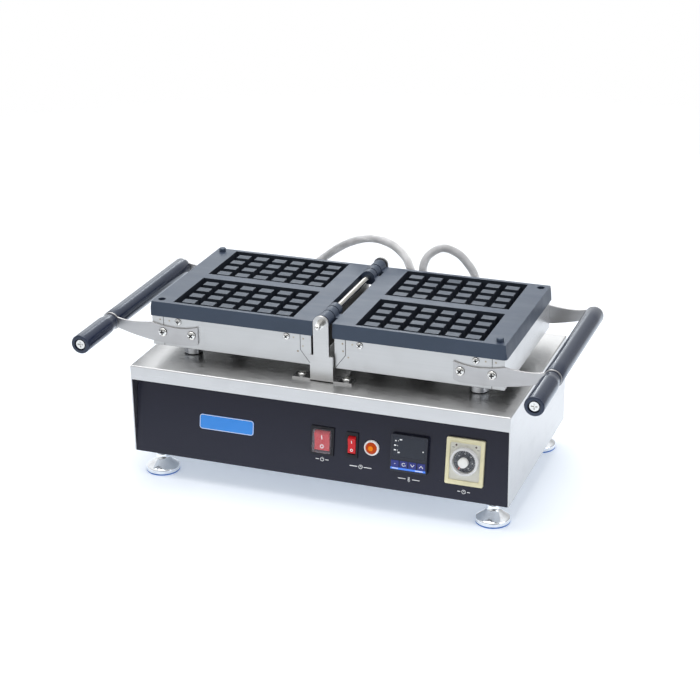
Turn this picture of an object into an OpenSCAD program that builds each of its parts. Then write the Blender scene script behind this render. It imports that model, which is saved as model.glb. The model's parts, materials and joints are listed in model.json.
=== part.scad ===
// Counter-top double Belgian waffle iron: two hinged irons, each with two 6 x 4 fields,
// that lie open on a flat base with a leaning control panel.
// Origin: middle of the footprint, on the floor. +Z up, the operator stands on the -Y side.

/* [Base] */
// Width of the base
base_w = 510; // [480:1:620]
// Depth of the base
base_d = 276; // [266:1:320]
// Height of the base without its feet
base_h = 121.5; // [100:0.5:160]
// Thickness of the base's sheet steel
sheet = 1.5; // [0.8:0.1:2.5]
// Height of the lip that folds down over the panel
lip_h = 19.5; // [10:0.5:24]
// Angle by which the panel leans back from the vertical
panel_lean = 9.4; // [4:0.1:12]
// Thickness of the panel
panel_t = 2; // [1:0.1:3]

/* [Feet] */
// Height of the feet
foot_h = 35; // [32:0.5:45]
// Diameter of a foot
foot_d = 45; // [34:0.5:50]
// Diameter of a foot's neck
foot_neck_d = 17; // [14:0.5:20]
// Diameter of a foot's screw
foot_stem_d = 8; // [6:0.5:10]
// Thickness of a foot's rubber pad
foot_pad_t = 2; // [1:0.1:4]
// Distance from the base's side to a foot's centre
foot_in_x = 27; // [26:0.5:50]
// Distance from the base's front or rear to a foot's centre
foot_in_y = 25; // [25:0.5:50]

/* [Hinge] */
// Height of the hinge axis above the base
hinge_rise = 78.6; // [74:0.1:95]
// Distance of the irons' centre line behind the base's centre line
irons_back = 5; // [2:0.5:6]
// Diameter of the hinge rod
rod_d = 8; // [6.5:0.1:9]
// Diameter of the rod's threaded ends
rod_end_d = 6; // [4:0.1:6.2]
// Diameter of the hinge knuckles
knuckle_d = 18.5; // [14:0.1:20]
// Length of the outer knuckle
knuckle_end_l = 18.5; // [12:0.1:22]
// Length of the middle knuckle
knuckle_mid_l = 14; // [10:0.1:20]
// Length of the inner knuckle
knuckle_in_l = 11; // [8:0.1:16]
// Gap between neighbouring knuckles
knuckle_gap = 2; // [0.4:0.1:3]
// Thickness of the hinge brackets
bracket_t = 3; // [2:0.1:4]
// Width of a bracket's lower part
bracket_w = 31; // [24:0.5:36]
// Width of a bracket's upper part
bracket_neck_w = 20.8; // [16:0.1:24]
// Height of a bracket's wide part
bracket_step = 35.5; // [20:0.5:50]
// Width of a bracket's foot
bracket_foot_w = 80; // [66:0.5:90]
// Depth of a bracket's foot
bracket_foot_d = 18; // [16:0.5:24]
// Gap between a bracket and the irons' upper edge
bracket_clear = 4; // [3.2:0.1:6]

/* [Plates] */
// Length of a plate, from its hinge edge outwards
plate_l = 223.8; // [216:0.1:260]
// Depth of a plate, front to rear
plate_d = 215; // [214:0.5:218]
// Thickness of a plate
plate_t = 19; // [16:0.5:24]
// Gap between the two plates when they are shut
plate_gap = 0.6; // [0.3:0.1:2]
// Diameter of the pin in one outer corner, which locates the other plate
dowel_d = 9.2; // [7:0.1:10]
// Height of the pin above the plate
dowel_h = 5; // [3:0.1:6]
// Distance from the hinge axis to a plate's edge
plate_in = 13.2; // [11:0.1:16]
// How far a plate's sides lean out over its thickness
plate_draft = 2.4; // [0:0.1:2.6]
// Length of a field
field_l = 166.5; // [150:0.5:170]
// Width of a field
field_w = 94; // [84:0.5:95]
// Depth of a field
field_depth = 13; // [8:0.5:13]
// Width of the rib between the two fields of a plate
field_rib = 16; // [10:0.5:17]
// Distance from a plate's hinge edge to its fields
field_in = 28.6; // [22:0.1:32]
// How far a field's walls lean in over its depth
field_draft = 1.8; // [0.5:0.1:2]
// Columns of studs in a field
stud_cols = 6; // [4:1:6]
// Rows of studs in a field
stud_rows = 4; // [3:1:4]
// Length of a stud's top
stud_l = 17.7; // [14:0.1:18]
// Width of a stud's top
stud_w = 12.3; // [10:0.1:12.6]
// How far a stud's sides lean out over its height
stud_draft = 1.9; // [1:0.1:2]
// Depth of a stud's top below the plate's top
stud_drop = 1.8; // [0:0.1:3]
// Space between the field's end and the first stud
stud_end = 8.4; // [7:0.1:9]
// Space between the field's side and the first stud
stud_side = 7.6; // [6:0.1:8]

/* [Trays] */
// Height of a tray below its plate
tray_h = 40.4; // [36:0.1:44]
// Thickness of a tray's sheet steel
tray_t = 1.2; // [0.8:0.1:2]
// How far a tray stands in from its plate's lower edge, front and rear
tray_in_y = 1.9; // [1.5:0.1:2.4]
// How far a tray stands in from its plate's lower edge, at the ends
tray_in_x = 2.6; // [1:0.1:3]
// Diameter of the rests that the trays lie on
rest_d = 24.5; // [16:0.5:26]
// Distance of the rests from the hinge axis
rest_x = 195.5; // [150:0.5:220]
// Distance of the rests from the irons' centre line
rest_y = 75; // [60:1:90]

/* [Handles] */
// Distance of the handles from the hinge axis
handle_x = 296.5; // [285:0.5:320]
// Distance of the handles below the hinge axis
handle_drop = 35; // [28:0.5:38]
// Diameter of the handles
handle_d = 25; // [20:0.5:27]
// Length of the front grips
grip_l = 84.5; // [60:0.5:120]
// Diameter of a grip where it meets the arm
grip_neck_d = 21.5; // [18:0.5:24]
// Diameter of the bolt through a handle
bolt_d = 8; // [6:0.1:9]
// Thickness of the arms
arm_t = 2.5; // [2:0.1:4]
// Length over which an arm lies on its tray
arm_lap = 65; // [58:0.5:80]
// Height of an arm at its screws
arm_h = 23; // [18:0.5:26]

/* [Conduits] */
// Outer diameter of the braided conduits
conduit_d = 12; // [10:0.5:13]
// Width across the flats of the glands
gland_af = 20; // [18:0.5:21]
// Height of a gland
gland_h = 20; // [16:0.5:24]
// Distance of the tray glands from the hinge axis
tray_gland_x = 124; // [110:1:150]
// Distance of the tray glands above the tray's floor
tray_gland_z = 19; // [14:0.5:24]
// Place of the left conduit's gland across the base
base_gland_x = 48; // [48:1:54]
// Distance between the two glands on the base
base_gland_step = 23; // [23:0.5:30]

/* [Controls] */
// Height of the row of controls, along the panel
row_h = 51; // [46:0.5:58]
// Place of the power switch across the panel
power_x = 8; // [-10:0.5:8]
// Width of the power switch's bezel
power_w = 31; // [29:0.5:33]
// Height of the power switch's bezel
power_h = 37; // [35:0.5:40]
// Place of the alarm switch across the panel
alarm_x = 48; // [44:0.5:50]
// Width of the alarm switch's bezel
alarm_w = 15.5; // [15:0.5:18]
// Height of the alarm switch's bezel
alarm_h = 33; // [31:0.5:36]
// Angle through which the switches tip
rocker_tip = 16; // [8:0.5:18]
// Place of the lamp across the panel
lamp_x = 74; // [72:0.5:80]
// Diameter of the lamp's rim
lamp_d = 20; // [17:0.5:22]
// Place of the temperature controller across the panel
controller_x = 124.5; // [120:0.5:128]
// Width and height of the temperature controller
controller_w = 48; // [46:0.5:52]
// Travel of the controller's keys
key_travel = 0.5; // [0.2:0.1:1]
// Place of the timer across the panel
timer_x = 196.5; // [190:0.5:205]
// Width of the timer's frame
timer_w = 49; // [46:0.5:54]
// Height of the timer's frame
timer_h = 60; // [56:0.5:64]
// Diameter of the timer's knob
knob_d = 36.5; // [28:0.5:37]
// Length of the terminal block inside the base
block_l = 60; // [45:1:70]
// Depth of the contactor inside the base
contactor_d = 60; // [45:1:66]
// Length of the blank nameplate
name_l = 76; // [60:1:100]
// Height of the blank nameplate
name_h = 20; // [16:0.5:34]
// Place of the nameplate across the panel
name_x = -125; // [-160:1:-90]

/* [Hidden] */
$fn = 64;
eps = 0.01;
fit = 0.05;         // radial clearance of a shaft that turns
slip = 0.1;         // radial clearance of a screw in its hole
block_d = 0.37 * block_l; block_h = 0.3 * block_l;
gap = 0.2;          // clearance between neighbouring sheets and between an iron and its rests
M4 = 4; M5 = 5; M6 = 6;
flange_w = 13;
vent_step = base_w / 42.5;
vent_l = base_d * 0.217;
panel_under = 9;    // the panel ends this far below the top sheet, behind the lip and below the bracket screws

base_z = foot_h;
base_top = foot_h + base_h;
tray_y = plate_d / 2 + plate_draft - tray_in_y;  // half depth
// the base's middle, set so that the footprint's middle is the origin
base_y = (tray_y + arm_t + grip_l - irons_back - base_d / 2 - gland_h) / 2;
irons_y = base_y + irons_back;
front_y = base_y - base_d / 2;
rear_y = base_y + base_d / 2;
in_w = base_w - 2 * sheet;
foot_x = base_w / 2 - foot_in_x;
foot_y = base_d / 2 - foot_in_y;

axis_z = base_top + hinge_rise;
plate_top = axis_z - plate_gap / 2;
plate_bot = plate_top - plate_t;
tray_bot = plate_bot - tray_h;
k_end = plate_d / 2;
k_mid = k_end - knuckle_end_l - knuckle_gap;
k_in = k_mid - knuckle_mid_l - knuckle_gap;
bracket_y = k_end + bracket_clear;         // inner face, from the irons' centre line
bore_r = rod_d / 2 + fit;

tray_x0 = plate_in + tray_in_x;
tray_x1 = plate_in + plate_l + plate_draft - tray_in_x;
handle_z = axis_z - handle_drop;
eye_r = handle_d / 2 - 0.5;
arm_x0 = tray_x1 - arm_lap;
arm_z0 = handle_z - 21;                     // lower edge of an arm at its screws
arm_screw_z = arm_z0 + 0.68 * arm_h;
arm_screws = [arm_x0 + 9, tray_x1 - 15.5];
lug_x = [plate_in + 36, plate_in + plate_l - 37];
lug_drop = 5.6;                             // screw centre below the plate
clamp_x = [plate_in + 0.3 * plate_l, plate_in + 0.75 * plate_l]; // screws that hold the heating element, in the rib between the fields
clamp_bore = 0.65 * plate_t;
corner_x = plate_in + plate_l - 10;
corner_y = plate_d / 2 - 11;
clamp_t = 3;
tube_d = 8.5;                               // heating element
clamp_z = plate_bot - tube_d - fit - clamp_t; // underside of the plate that clamps it
loop_r = 0.2 * tray_y;                      // bends of the heating element

stud_px = (field_l - 2 * stud_end - stud_l) / (stud_cols - 1);
stud_py = (field_w - 2 * stud_side - stud_w) / (stud_rows - 1);
field_x = plate_in + field_in;

slope = tan(panel_lean);
face_h = base_h / cos(panel_lean);

switch_pin_d = 3;
rocker_h = 6;                               // valley of a rocker above its pin
bezel_t = 2.2;
power_cut = [power_w - 4, power_h - 4];
alarm_cut = [alarm_w - 3, alarm_h - 4];
power_rocker_w = power_w - 11;
alarm_rocker_w = alarm_w - 5.5;
power_r = (power_h - 10) / 2;
alarm_r = (alarm_h - 9) / 2;
case_t = 6;                                 // how far the controller stands out
controller_cut = controller_w - 3;
timer_cut = timer_w - 4;
frame_t = 4;                                // how far the timer stands out
key_pitch = (controller_w - 2) / 4;
key_w = key_pitch - 1.4;
key_h = 8.6;
key_drop = 13.9;                            // keys below the controller's centre
knob_up = 1.2;                              // knob's centre above the timer's centre
dial_d = knob_d - 7.5;

// route of each conduit between its two glands, from the base's middle on the floor
left_route = [[-120, 156, 202], [-104, 163, 216], [-66, 158, 244], [-28, 151, 259], [4, 144, 257], [27, 136, 245], [38, 131, 228], [45, 128, 204]];
right_route = [[123, 156, 202], [119, 163, 217], [111, 160, 233], [98, 153, 250], [78, 146, 258], [60, 138, 247], [55, 132, 228], [63, 128, 205]];

// ---------------------------------------------------------------- helpers

module box(lo, hi) { translate(lo) cube([hi[0] - lo[0], hi[1] - lo[1], hi[2] - lo[2]]); }
module cyl_y(r, y0, y1) { translate([0, y0, 0]) rotate([-90, 0, 0]) cylinder(r = r, h = y1 - y0); }
module hex_nut(af, h, bore) { difference() { cylinder(d = af / cos(30), h = h, $fn = 6); translate([0, 0, -1]) cylinder(r = bore, h = h + 2); } }
module washer(r, h, bore) { difference() { cylinder(r = r, h = h); translate([0, 0, -1]) cylinder(r = bore, h = h + 2); } }
module both_x() { children(); mirror([1, 0, 0]) children(); }
module round_rect(l, w, r) { hull() for (x = [-1, 1], y = [-1, 1]) translate([x * (l / 2 - r), y * (w / 2 - r)]) circle(r); }
// rounded rectangle made of true arcs
module slab(l, w, h, r) {
    translate([-l / 2 + r, -w / 2, 0]) cube([l - 2 * r, w, h]);
    translate([-l / 2, -w / 2 + r, 0]) cube([l, w - 2 * r, h]);
    for (x = [-1, 1], y = [-1, 1]) translate([x * (l / 2 - r), y * (w / 2 - r), 0]) cylinder(r = r, h = h);
}
// block whose four sides lean: sizes at z = 0 and at z = h, about the centre
module lean_block(l0, w0, l1, w1, h) {
    big = max(l0, l1, w0, w1) + 2;
    intersection() {
        translate([0, big / 2, 0]) rotate([90, 0, 0]) linear_extrude(big) polygon([[-l0 / 2, 0], [l0 / 2, 0], [l1 / 2, h], [-l1 / 2, h]]);
        translate([-big / 2, 0, 0]) rotate([90, 0, 90]) linear_extrude(big) polygon([[-w0 / 2, 0], [w0 / 2, 0], [w1 / 2, h], [-w1 / 2, h]]);
    }
}
// pan head screw along +Z: head above z = 0, shank below it
module pan_screw(head_r, head_h, shank_r, shank_l) {
    cross = head_r * 0.95;
    difference() {
        union() {
            intersection() {
                cylinder(r = head_r, h = head_h);
                translate([0, 0, head_h - head_r * 1.6]) sphere(r = head_r * 1.6);
            }
            translate([0, 0, -shank_l]) cylinder(r = shank_r, h = shank_l + eps);
        }
        for (a = [0, 90]) rotate(a) translate([-cross / 2, -head_r * 0.11, head_h * 0.45]) cube([cross, head_r * 0.22, head_h]);
    }
}
// puts its children on the panel's outer face: x across, y up the slope, z outwards
module on_panel(x, h) { translate([x, front_y, base_z]) rotate([90 - panel_lean, 0, 0]) translate([0, h, 0]) children(); }
// cable gland along +Z, standing on z = 0, with a stub through a sheet of thickness t
module gland(h, t, bore) {
    difference() {
        union() {
            cylinder(d = gland_af / cos(30), h = h * 0.3, $fn = 6);
            cylinder(r = gland_af * 0.43, h = h * 0.72);
            translate([0, 0, h * 0.42]) cylinder(d = gland_af / cos(30) * 0.96, h = h * 0.34, $fn = 6);
            translate([0, 0, h * 0.76 - eps]) cylinder(r1 = gland_af * 0.46, r2 = gland_af * 0.36, h = h * 0.24 + eps);
            translate([0, 0, -t - 5]) cylinder(r = gland_af * 0.36, h = t + 5 + eps);
        }
        if (bore > 0) translate([0, 0, -t - 6]) cylinder(r = bore, h = h + t + 8);
    }
}

// ---------------------------------------------------------------- tube along a route

function unit(v) = v / norm(v);
function catmull(a, b, c, d, t) = 0.5 * ((2 * b) + (c - a) * t + (2 * a - 5 * b + 4 * c - d) * t * t + (3 * b - a - 3 * c + d) * t * t * t);
function smooth(p, n) = concat([for (i = [1 : len(p) - 3]) for (k = [0 : n - 1]) catmull(p[i - 1], p[i], p[i + 1], p[i + 2], k / n)], [p[len(p) - 2]]);
function tangents(p) = [for (i = [0 : len(p) - 1]) unit(p[min(i + 1, len(p) - 1)] - p[max(i - 1, 0)])];
// square to every ring: t0 and t1 are the directions in which the tube leaves and arrives
function frames(p, t0, t1) = let (t = tangents(p)) [for (i = [0 : len(p) - 1]) i == 0 ? unit(t0) : i == len(p) - 1 ? unit(t1) : t[i]];
// a direction square to each ring, carried along the route without twist
function carried(t, us) = len(us) == len(t) ? us : let (u = us[len(us) - 1], d = t[len(us)]) carried(t, concat(us, [unit(u - (u * d) * d)]));
module tube(p, t0, t1, r, ref, sides) {
    t = frames(p, t0, t1);
    n = len(p);
    us = carried(t, [unit(cross(t[0], ref))]);
    pts = [for (i = [0 : n - 1]) let (u = us[i], v = cross(t[i], u)) for (s = [0 : sides - 1]) p[i] + r * (cos(360 * s / sides) * u + sin(360 * s / sides) * v)];
    sides_f = [for (i = [0 : n - 2], s = [0 : sides - 1]) [i * sides + s, i * sides + (s + 1) % sides, (i + 1) * sides + (s + 1) % sides, (i + 1) * sides + s]];
    polyhedron(points = pts, faces = concat([[for (s = [sides - 1 : -1 : 0]) s]], sides_f, [[for (s = [0 : sides - 1]) (n - 1) * sides + s]]), convexity = 6);
}

// ---------------------------------------------------------------- base

// cover screws under the base's sides, and at the top of the rear panel: their heads face along +z
module under_screw_places() { for (x = [-1, 1], y = [-0.28, 0, 0.28]) translate([x * (in_w / 2 - flange_w / 2), base_y + y * base_d, base_z]) rotate([180, 0, 0]) children(); }
module rear_screw_places() { for (x = [-0.38, 0, 0.38]) translate([x * base_w, rear_y, base_top - sheet - flange_w / 2]) rotate([-90, 0, 0]) children(); }
module bracket_hole_places() { for (x = [-1, 1], s = [-1, 1]) translate([x * (bracket_foot_w / 2 - 10), irons_y + s * (bracket_y + bracket_t - bracket_foot_d + 8), 0]) children(); }
module base_gland_places() { for (x = [base_gland_x, base_gland_x + base_gland_step]) translate([x, rear_y - gland_af / 2 - 0.6, base_top]) children(); }

module base_shell() {
    shell_body();
    shell_flanges();
}
module shell_body() color([0.78, 0.79, 0.80]) difference() {
    box([-base_w / 2, front_y, base_z], [base_w / 2, rear_y, base_top]);
    box([-in_w / 2, front_y + sheet, base_z - 1], [in_w / 2, rear_y + 1, base_top - sheet]);
    box([-in_w / 2, front_y - 1, base_z - 1], [in_w / 2, front_y + sheet + 1, base_top - lip_h]);
    bracket_hole_places() translate([0, 0, base_top - sheet - 1]) cylinder(r = M6 / 2 + slip, h = sheet + 2);
    base_gland_places() translate([0, 0, -sheet - 1]) cylinder(r = gland_af * 0.36 + slip, h = sheet + 2);
}

// flanges that turn in from the shell and take the cover screws
module shell_flanges() color([0.78, 0.79, 0.80]) difference() {
    union() {
        both_x() box([in_w / 2 - flange_w, front_y + 40, base_z + sheet], [in_w / 2 + sheet / 2, rear_y - 12, base_z + 2 * sheet]);
        box([-in_w / 2 + 12, rear_y - 2 * sheet, base_top - sheet - flange_w], [in_w / 2 - 12, rear_y - sheet, base_top - sheet / 2]);
    }
    under_screw_places() translate([0, 0, -6]) cylinder(r = M4 / 2 + slip, h = 12);
    rear_screw_places() translate([0, 0, -6]) cylinder(r = M4 / 2 + slip, h = 12);
}

module control_panel() color([0.16, 0.16, 0.20]) difference() {
    t = panel_t / cos(panel_lean);
    top = base_h - sheet - panel_under;
    translate([-in_w / 2 + gap, 0, 0]) rotate([90, 0, 90]) linear_extrude(in_w - 2 * gap)
        polygon([[front_y, base_z], [front_y + t, base_z], [front_y + t + slope * top, base_z + top], [front_y + slope * top, base_z + top]]);
    on_panel(power_x, row_h) translate([-power_cut[0] / 2 - gap, -power_cut[1] / 2 - gap, -panel_t - 1]) cube([power_cut[0] + 2 * gap, power_cut[1] + 2 * gap, panel_t + 2]);
    on_panel(alarm_x, row_h) translate([-alarm_cut[0] / 2 - gap, -alarm_cut[1] / 2 - gap, -panel_t - 1]) cube([alarm_cut[0] + 2 * gap, alarm_cut[1] + 2 * gap, panel_t + 2]);
    on_panel(lamp_x, row_h) translate([0, 0, -panel_t - 1]) cylinder(r = lamp_d * 0.3 + slip, h = panel_t + 2);
    on_panel(controller_x, row_h) translate([-controller_cut / 2 - gap, -controller_cut / 2 - gap, -panel_t - 1]) cube([controller_cut + 2 * gap, controller_cut + 2 * gap, panel_t + 2]);
    on_panel(timer_x, row_h) translate([-timer_cut / 2 - gap, -timer_cut / 2 - gap, -panel_t - 1]) cube([timer_cut + 2 * gap, timer_cut + 2 * gap, panel_t + 2]);
}

module rear_panel() color([0.76, 0.77, 0.78]) difference() {
    box([-in_w / 2 + gap, rear_y - sheet, base_z], [in_w / 2 - gap, rear_y, base_top - sheet]);
    rear_screw_places() translate([0, 0, -6]) cylinder(r = M4 / 2 + slip, h = 12);
    for (i = [0 : 9]) translate([5 * vent_step + i * vent_step * 1.17, rear_y, base_z + 0.5 * base_h]) rotate([90, 0, 0]) translate([0, 0, -1]) slab(4.4, 0.3 * base_h, sheet + 2, 2);
    translate([-base_w / 2 + 60, rear_y, base_z + 30]) rotate([90, 0, 0]) translate([0, 0, -1]) cylinder(r = gland_af * 0.36 + slip, h = sheet + 2);
}

module bottom_plate() color([0.70, 0.71, 0.72]) {
    y0 = front_y + panel_t / cos(panel_lean) + slope * sheet + eps;
    y1 = rear_y - sheet;
    difference() {
        box([-in_w / 2 + gap, y0, base_z], [in_w / 2 - gap, y1, base_z + sheet]);
        for (n = [0 : 3]) translate(foot_at(n)) translate([0, 0, base_z - 1]) cylinder(r = foot_stem_d / 2 + fit, h = sheet + 2);
        for (i = [-11 : 11]) translate([i * vent_step, base_y - 0.11 * base_d, base_z - 1]) slab(4.4, vent_l, sheet + 2, 2);
        under_screw_places() translate([0, 0, -6]) cylinder(r = M4 / 2 + slip, h = 12);
    }
}

module cover_screws() color([0.84, 0.84, 0.84]) {
    under_screw_places() pan_screw(3.8, 2.4, M4 / 2, 9);
    rear_screw_places() pan_screw(3.8, 2.4, M4 / 2, 9);
}

// ---------------------------------------------------------------- hinge

// a bracket seen from the front: outer face at y = -(bracket_y + bracket_t) from the irons' centre line
module bracket() color([0.80, 0.80, 0.79]) difference() {
    union() {
        translate([0, -bracket_y, 0]) rotate([90, 0, 0]) linear_extrude(bracket_t) {
            translate([-bracket_w / 2, base_top]) square([bracket_w, bracket_step]);
            translate([-bracket_neck_w / 2, base_top]) square([bracket_neck_w, hinge_rise]);
            translate([0, axis_z]) circle(d = bracket_neck_w);
        }
        box([-bracket_foot_w / 2, -bracket_y - bracket_t, base_top], [bracket_foot_w / 2, -bracket_y - bracket_t + bracket_foot_d, base_top + bracket_t]);
    }
    translate([0, 0, axis_z]) cyl_y(rod_end_d / 2 + fit, -bracket_y - bracket_t - 1, -bracket_y + 1);
    translate([0, -irons_y, 0]) bracket_hole_places() translate([0, 0, base_top - 1]) cylinder(r = M6 / 2 + slip, h = bracket_t + 2);
}
module hinge_bracket_front() translate([0, irons_y, 0]) bracket();
module hinge_bracket_rear() translate([0, irons_y, 0]) mirror([0, 1, 0]) bracket();

module bracket_screws() color([0.85, 0.85, 0.86]) bracket_hole_places() {
    difference() {
        union() {
            translate([0, 0, base_top + bracket_t]) intersection() { cylinder(r = M6 * 0.92, h = 3.3); translate([0, 0, -2.6]) sphere(r = 6.2); }
            translate([0, 0, base_top - sheet - 8]) cylinder(r = M6 / 2, h = bracket_t + sheet + 8 + eps);
        }
        translate([0, 0, base_top + bracket_t + 1.4]) cylinder(d = 4, h = 4, $fn = 6);
    }
    translate([0, 0, base_top - sheet - 5]) hex_nut(10, 5, M6 / 2 + fit);
}

module hinge_rod() color([0.88, 0.88, 0.87]) translate([0, irons_y, axis_z]) {
    cyl_y(rod_d / 2, -bracket_y, bracket_y);
    cyl_y(rod_end_d / 2, -bracket_y - bracket_t - 8, bracket_y + bracket_t + 8);
}

module cap_nut() {
    af = rod_end_d * 1.6;
    difference() {
        union() {
            cylinder(d = af / cos(30), h = 5, $fn = 6);
            translate([0, 0, 5 - eps]) cylinder(r = af * 0.4, h = 5 + eps);
            translate([0, 0, 10]) intersection() { sphere(r = af * 0.4); cylinder(r = af, h = af); }
        }
        translate([0, 0, -1]) cylinder(r = rod_end_d / 2 + fit, h = 8);
    }
}
module hinge_nuts() color([0.90, 0.90, 0.90]) for (s = [0, 1]) translate([0, irons_y, axis_z]) mirror([0, s, 0]) {
    translate([0, -bracket_y - bracket_t, 0]) rotate([90, 0, 0]) washer(rod_end_d * 0.95, 1, rod_end_d / 2 + fit);
    translate([0, -bracket_y - bracket_t - 1, 0]) rotate([90, 0, 0]) cap_nut();
    translate([0, -bracket_y + bracket_clear - gap, 0]) rotate([90, 0, 0]) washer(bore_r + 1.6, bracket_clear - gap, bore_r);
}

module iron_rests() color([0.74, 0.76, 0.80]) for (x = [-rest_x, rest_x], y = [-rest_y, rest_y]) translate([x, irons_y + y, base_top]) {
    h = tray_bot - gap - base_top;
    cylinder(d = rest_d, h = h * 0.5);
    translate([0, 0, h * 0.5 - eps]) cylinder(d = rest_d - 3, h = h * 0.1 + 2 * eps);
    translate([0, 0, h * 0.6]) cylinder(d = rest_d, h = h * 0.4);
}

// ---------------------------------------------------------------- feet

function foot_at(n) = [(n % 2 == 0 ? -1 : 1) * foot_x, base_y + (n < 2 ? -1 : 1) * foot_y, 0];
module foot(n) color([0.82, 0.84, 0.87]) translate(foot_at(n)) {
    r = foot_d / 2; q = foot_neck_d / 2; z0 = foot_pad_t; top = base_z - 16;
    rotate_extrude() polygon([[0, z0], [r - 0.6, z0], [r, z0 + 0.8], [r, z0 + 4.4], [r - 1.1, z0 + 6],
        [q + 0.62 * (r - q), z0 + 0.40 * (top - z0) + 2.4], [q + 0.28 * (r - q), z0 + 0.66 * (top - z0) + 2.4], [q + 0.6, top - 0.8], [q, top], [q, top + 5], [q - 1, top + 6], [0, top + 6]]);
    translate([0, 0, foot_pad_t]) cylinder(r = foot_stem_d / 2, h = base_z + sheet + 14 - foot_pad_t);
}
module foot_pad(n) color([0.16, 0.32, 0.66]) translate(foot_at(n)) cylinder(r = foot_d / 2 - 0.4, h = foot_pad_t);
module foot_fl() foot(0);
module foot_fr() foot(1);
module foot_rl() foot(2);
module foot_rr() foot(3);
module foot_pad_fl() foot_pad(0);
module foot_pad_fr() foot_pad(1);
module foot_pad_rl() foot_pad(2);
module foot_pad_rr() foot_pad(3);
module foot_lock_nuts() color([0.80, 0.80, 0.81]) for (n = [0 : 3]) translate(foot_at(n)) {
    af = foot_stem_d * 1.63;
    translate([0, 0, base_z - 6]) hex_nut(af, 6, foot_stem_d / 2 + fit);
    translate([0, 0, base_z + sheet]) hex_nut(af, 6, foot_stem_d / 2 + fit);
}

// ---------------------------------------------------------------- irons, drawn for the right hand side about the irons' centre line

module casting() {
    c = [plate_in + plate_l / 2, 0];
    difference() {
        union() {
            intersection() {
                translate([c[0], 0, plate_bot]) lean_block(plate_l + 2 * plate_draft, plate_d + 2 * plate_draft, plate_l, plate_d, plate_t);
                translate([c[0], 0, plate_bot]) slab(plate_l + 2 * plate_draft, plate_d + 2 * plate_draft, plate_t, 5);
                box([plate_in, -plate_d, plate_bot], [plate_in + plate_l + plate_draft, plate_d, plate_top]);
            }
            // knuckles, each on a web that spreads towards the plate
            for (k = [[-k_mid, -k_mid + knuckle_mid_l], [k_in - knuckle_in_l, k_in], [k_end - knuckle_end_l, k_end]]) {
                translate([0, 0, axis_z]) cyl_y(knuckle_d / 2, k[0], k[1]);
                box([0, k[0], axis_z - knuckle_d / 2], [plate_in + 2, k[1], plate_top]);
            }
            translate([0, 0, axis_z - knuckle_d / 2]) linear_extrude(plate_top - axis_z + knuckle_d / 2)
                polygon([[knuckle_d / 2 - 1, k_in - knuckle_in_l + 1], [plate_in + 2, k_in - knuckle_in_l - 9], [plate_in + 2, k_in - 1], [knuckle_d / 2 - 1, k_in - 1]]);
            // pin that enters the other plate's hole when the irons are shut
            translate([corner_x, -corner_y, plate_top]) rotate_extrude() polygon([[0, -1], [dowel_d / 2, -1], [dowel_d / 2, dowel_h - 0.8], [dowel_d / 2 - 0.8, dowel_h], [0, dowel_h]]);
            // lugs that take the tray's screws
            for (x = lug_x, s = [-1, 1]) mirror([0, s < 0 ? 0 : 1, 0])
                box([x - 8, -tray_y + tray_t + eps, plate_bot - 2 * lug_drop], [x + 8, -tray_y + tray_t + 12, plate_bot + 1]);
        }
        for (s = [-1, 1]) translate([field_x + field_l / 2, s * (field_rib + field_w) / 2, plate_top - field_depth])
            difference() {
                lean_block(field_l - 2 * field_draft, field_w - 2 * field_draft, field_l + 2 * field_draft / field_depth, field_w + 2 * field_draft / field_depth, field_depth + 1);
                studs();
            }
        translate([0, 0, axis_z]) cyl_y(bore_r, -plate_d, plate_d);
        translate([corner_x, corner_y, plate_top - dowel_h - 3]) cylinder(d = dowel_d + 0.8, h = dowel_h + 5);
        for (x = clamp_x) translate([x, 0, plate_bot - 1]) cylinder(r = M5 / 2 + fit, h = clamp_bore + 1.5);
        for (x = lug_x, s = [0, 1]) mirror([0, s, 0]) translate([x, 0, plate_bot - lug_drop]) cyl_y(M5 / 2 + fit, -tray_y - 1, -tray_y + tray_t + 13);
    }
}
// the studs of one field about the field's centre, standing on z = 0
module studs() {
    h = field_depth - stud_drop;
    intersection() {
        for (i = [0 : stud_cols - 1]) translate([(i - (stud_cols - 1) / 2) * stud_px, field_w / 2 + 5, 0]) rotate([90, 0, 0]) linear_extrude(field_w + 10)
            polygon([[-stud_l / 2 - stud_draft - stud_draft / h, -1], [stud_l / 2 + stud_draft + stud_draft / h, -1], [stud_l / 2, h], [-stud_l / 2, h]]);
        for (j = [0 : stud_rows - 1]) translate([-field_l / 2 - 5, (j - (stud_rows - 1) / 2) * stud_py, 0]) rotate([90, 0, 90]) linear_extrude(field_l + 10)
            polygon([[-stud_w / 2 - stud_draft - stud_draft / h, -1], [stud_w / 2 + stud_draft + stud_draft / h, -1], [stud_w / 2, h], [-stud_w / 2, h]]);
    }
}

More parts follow.
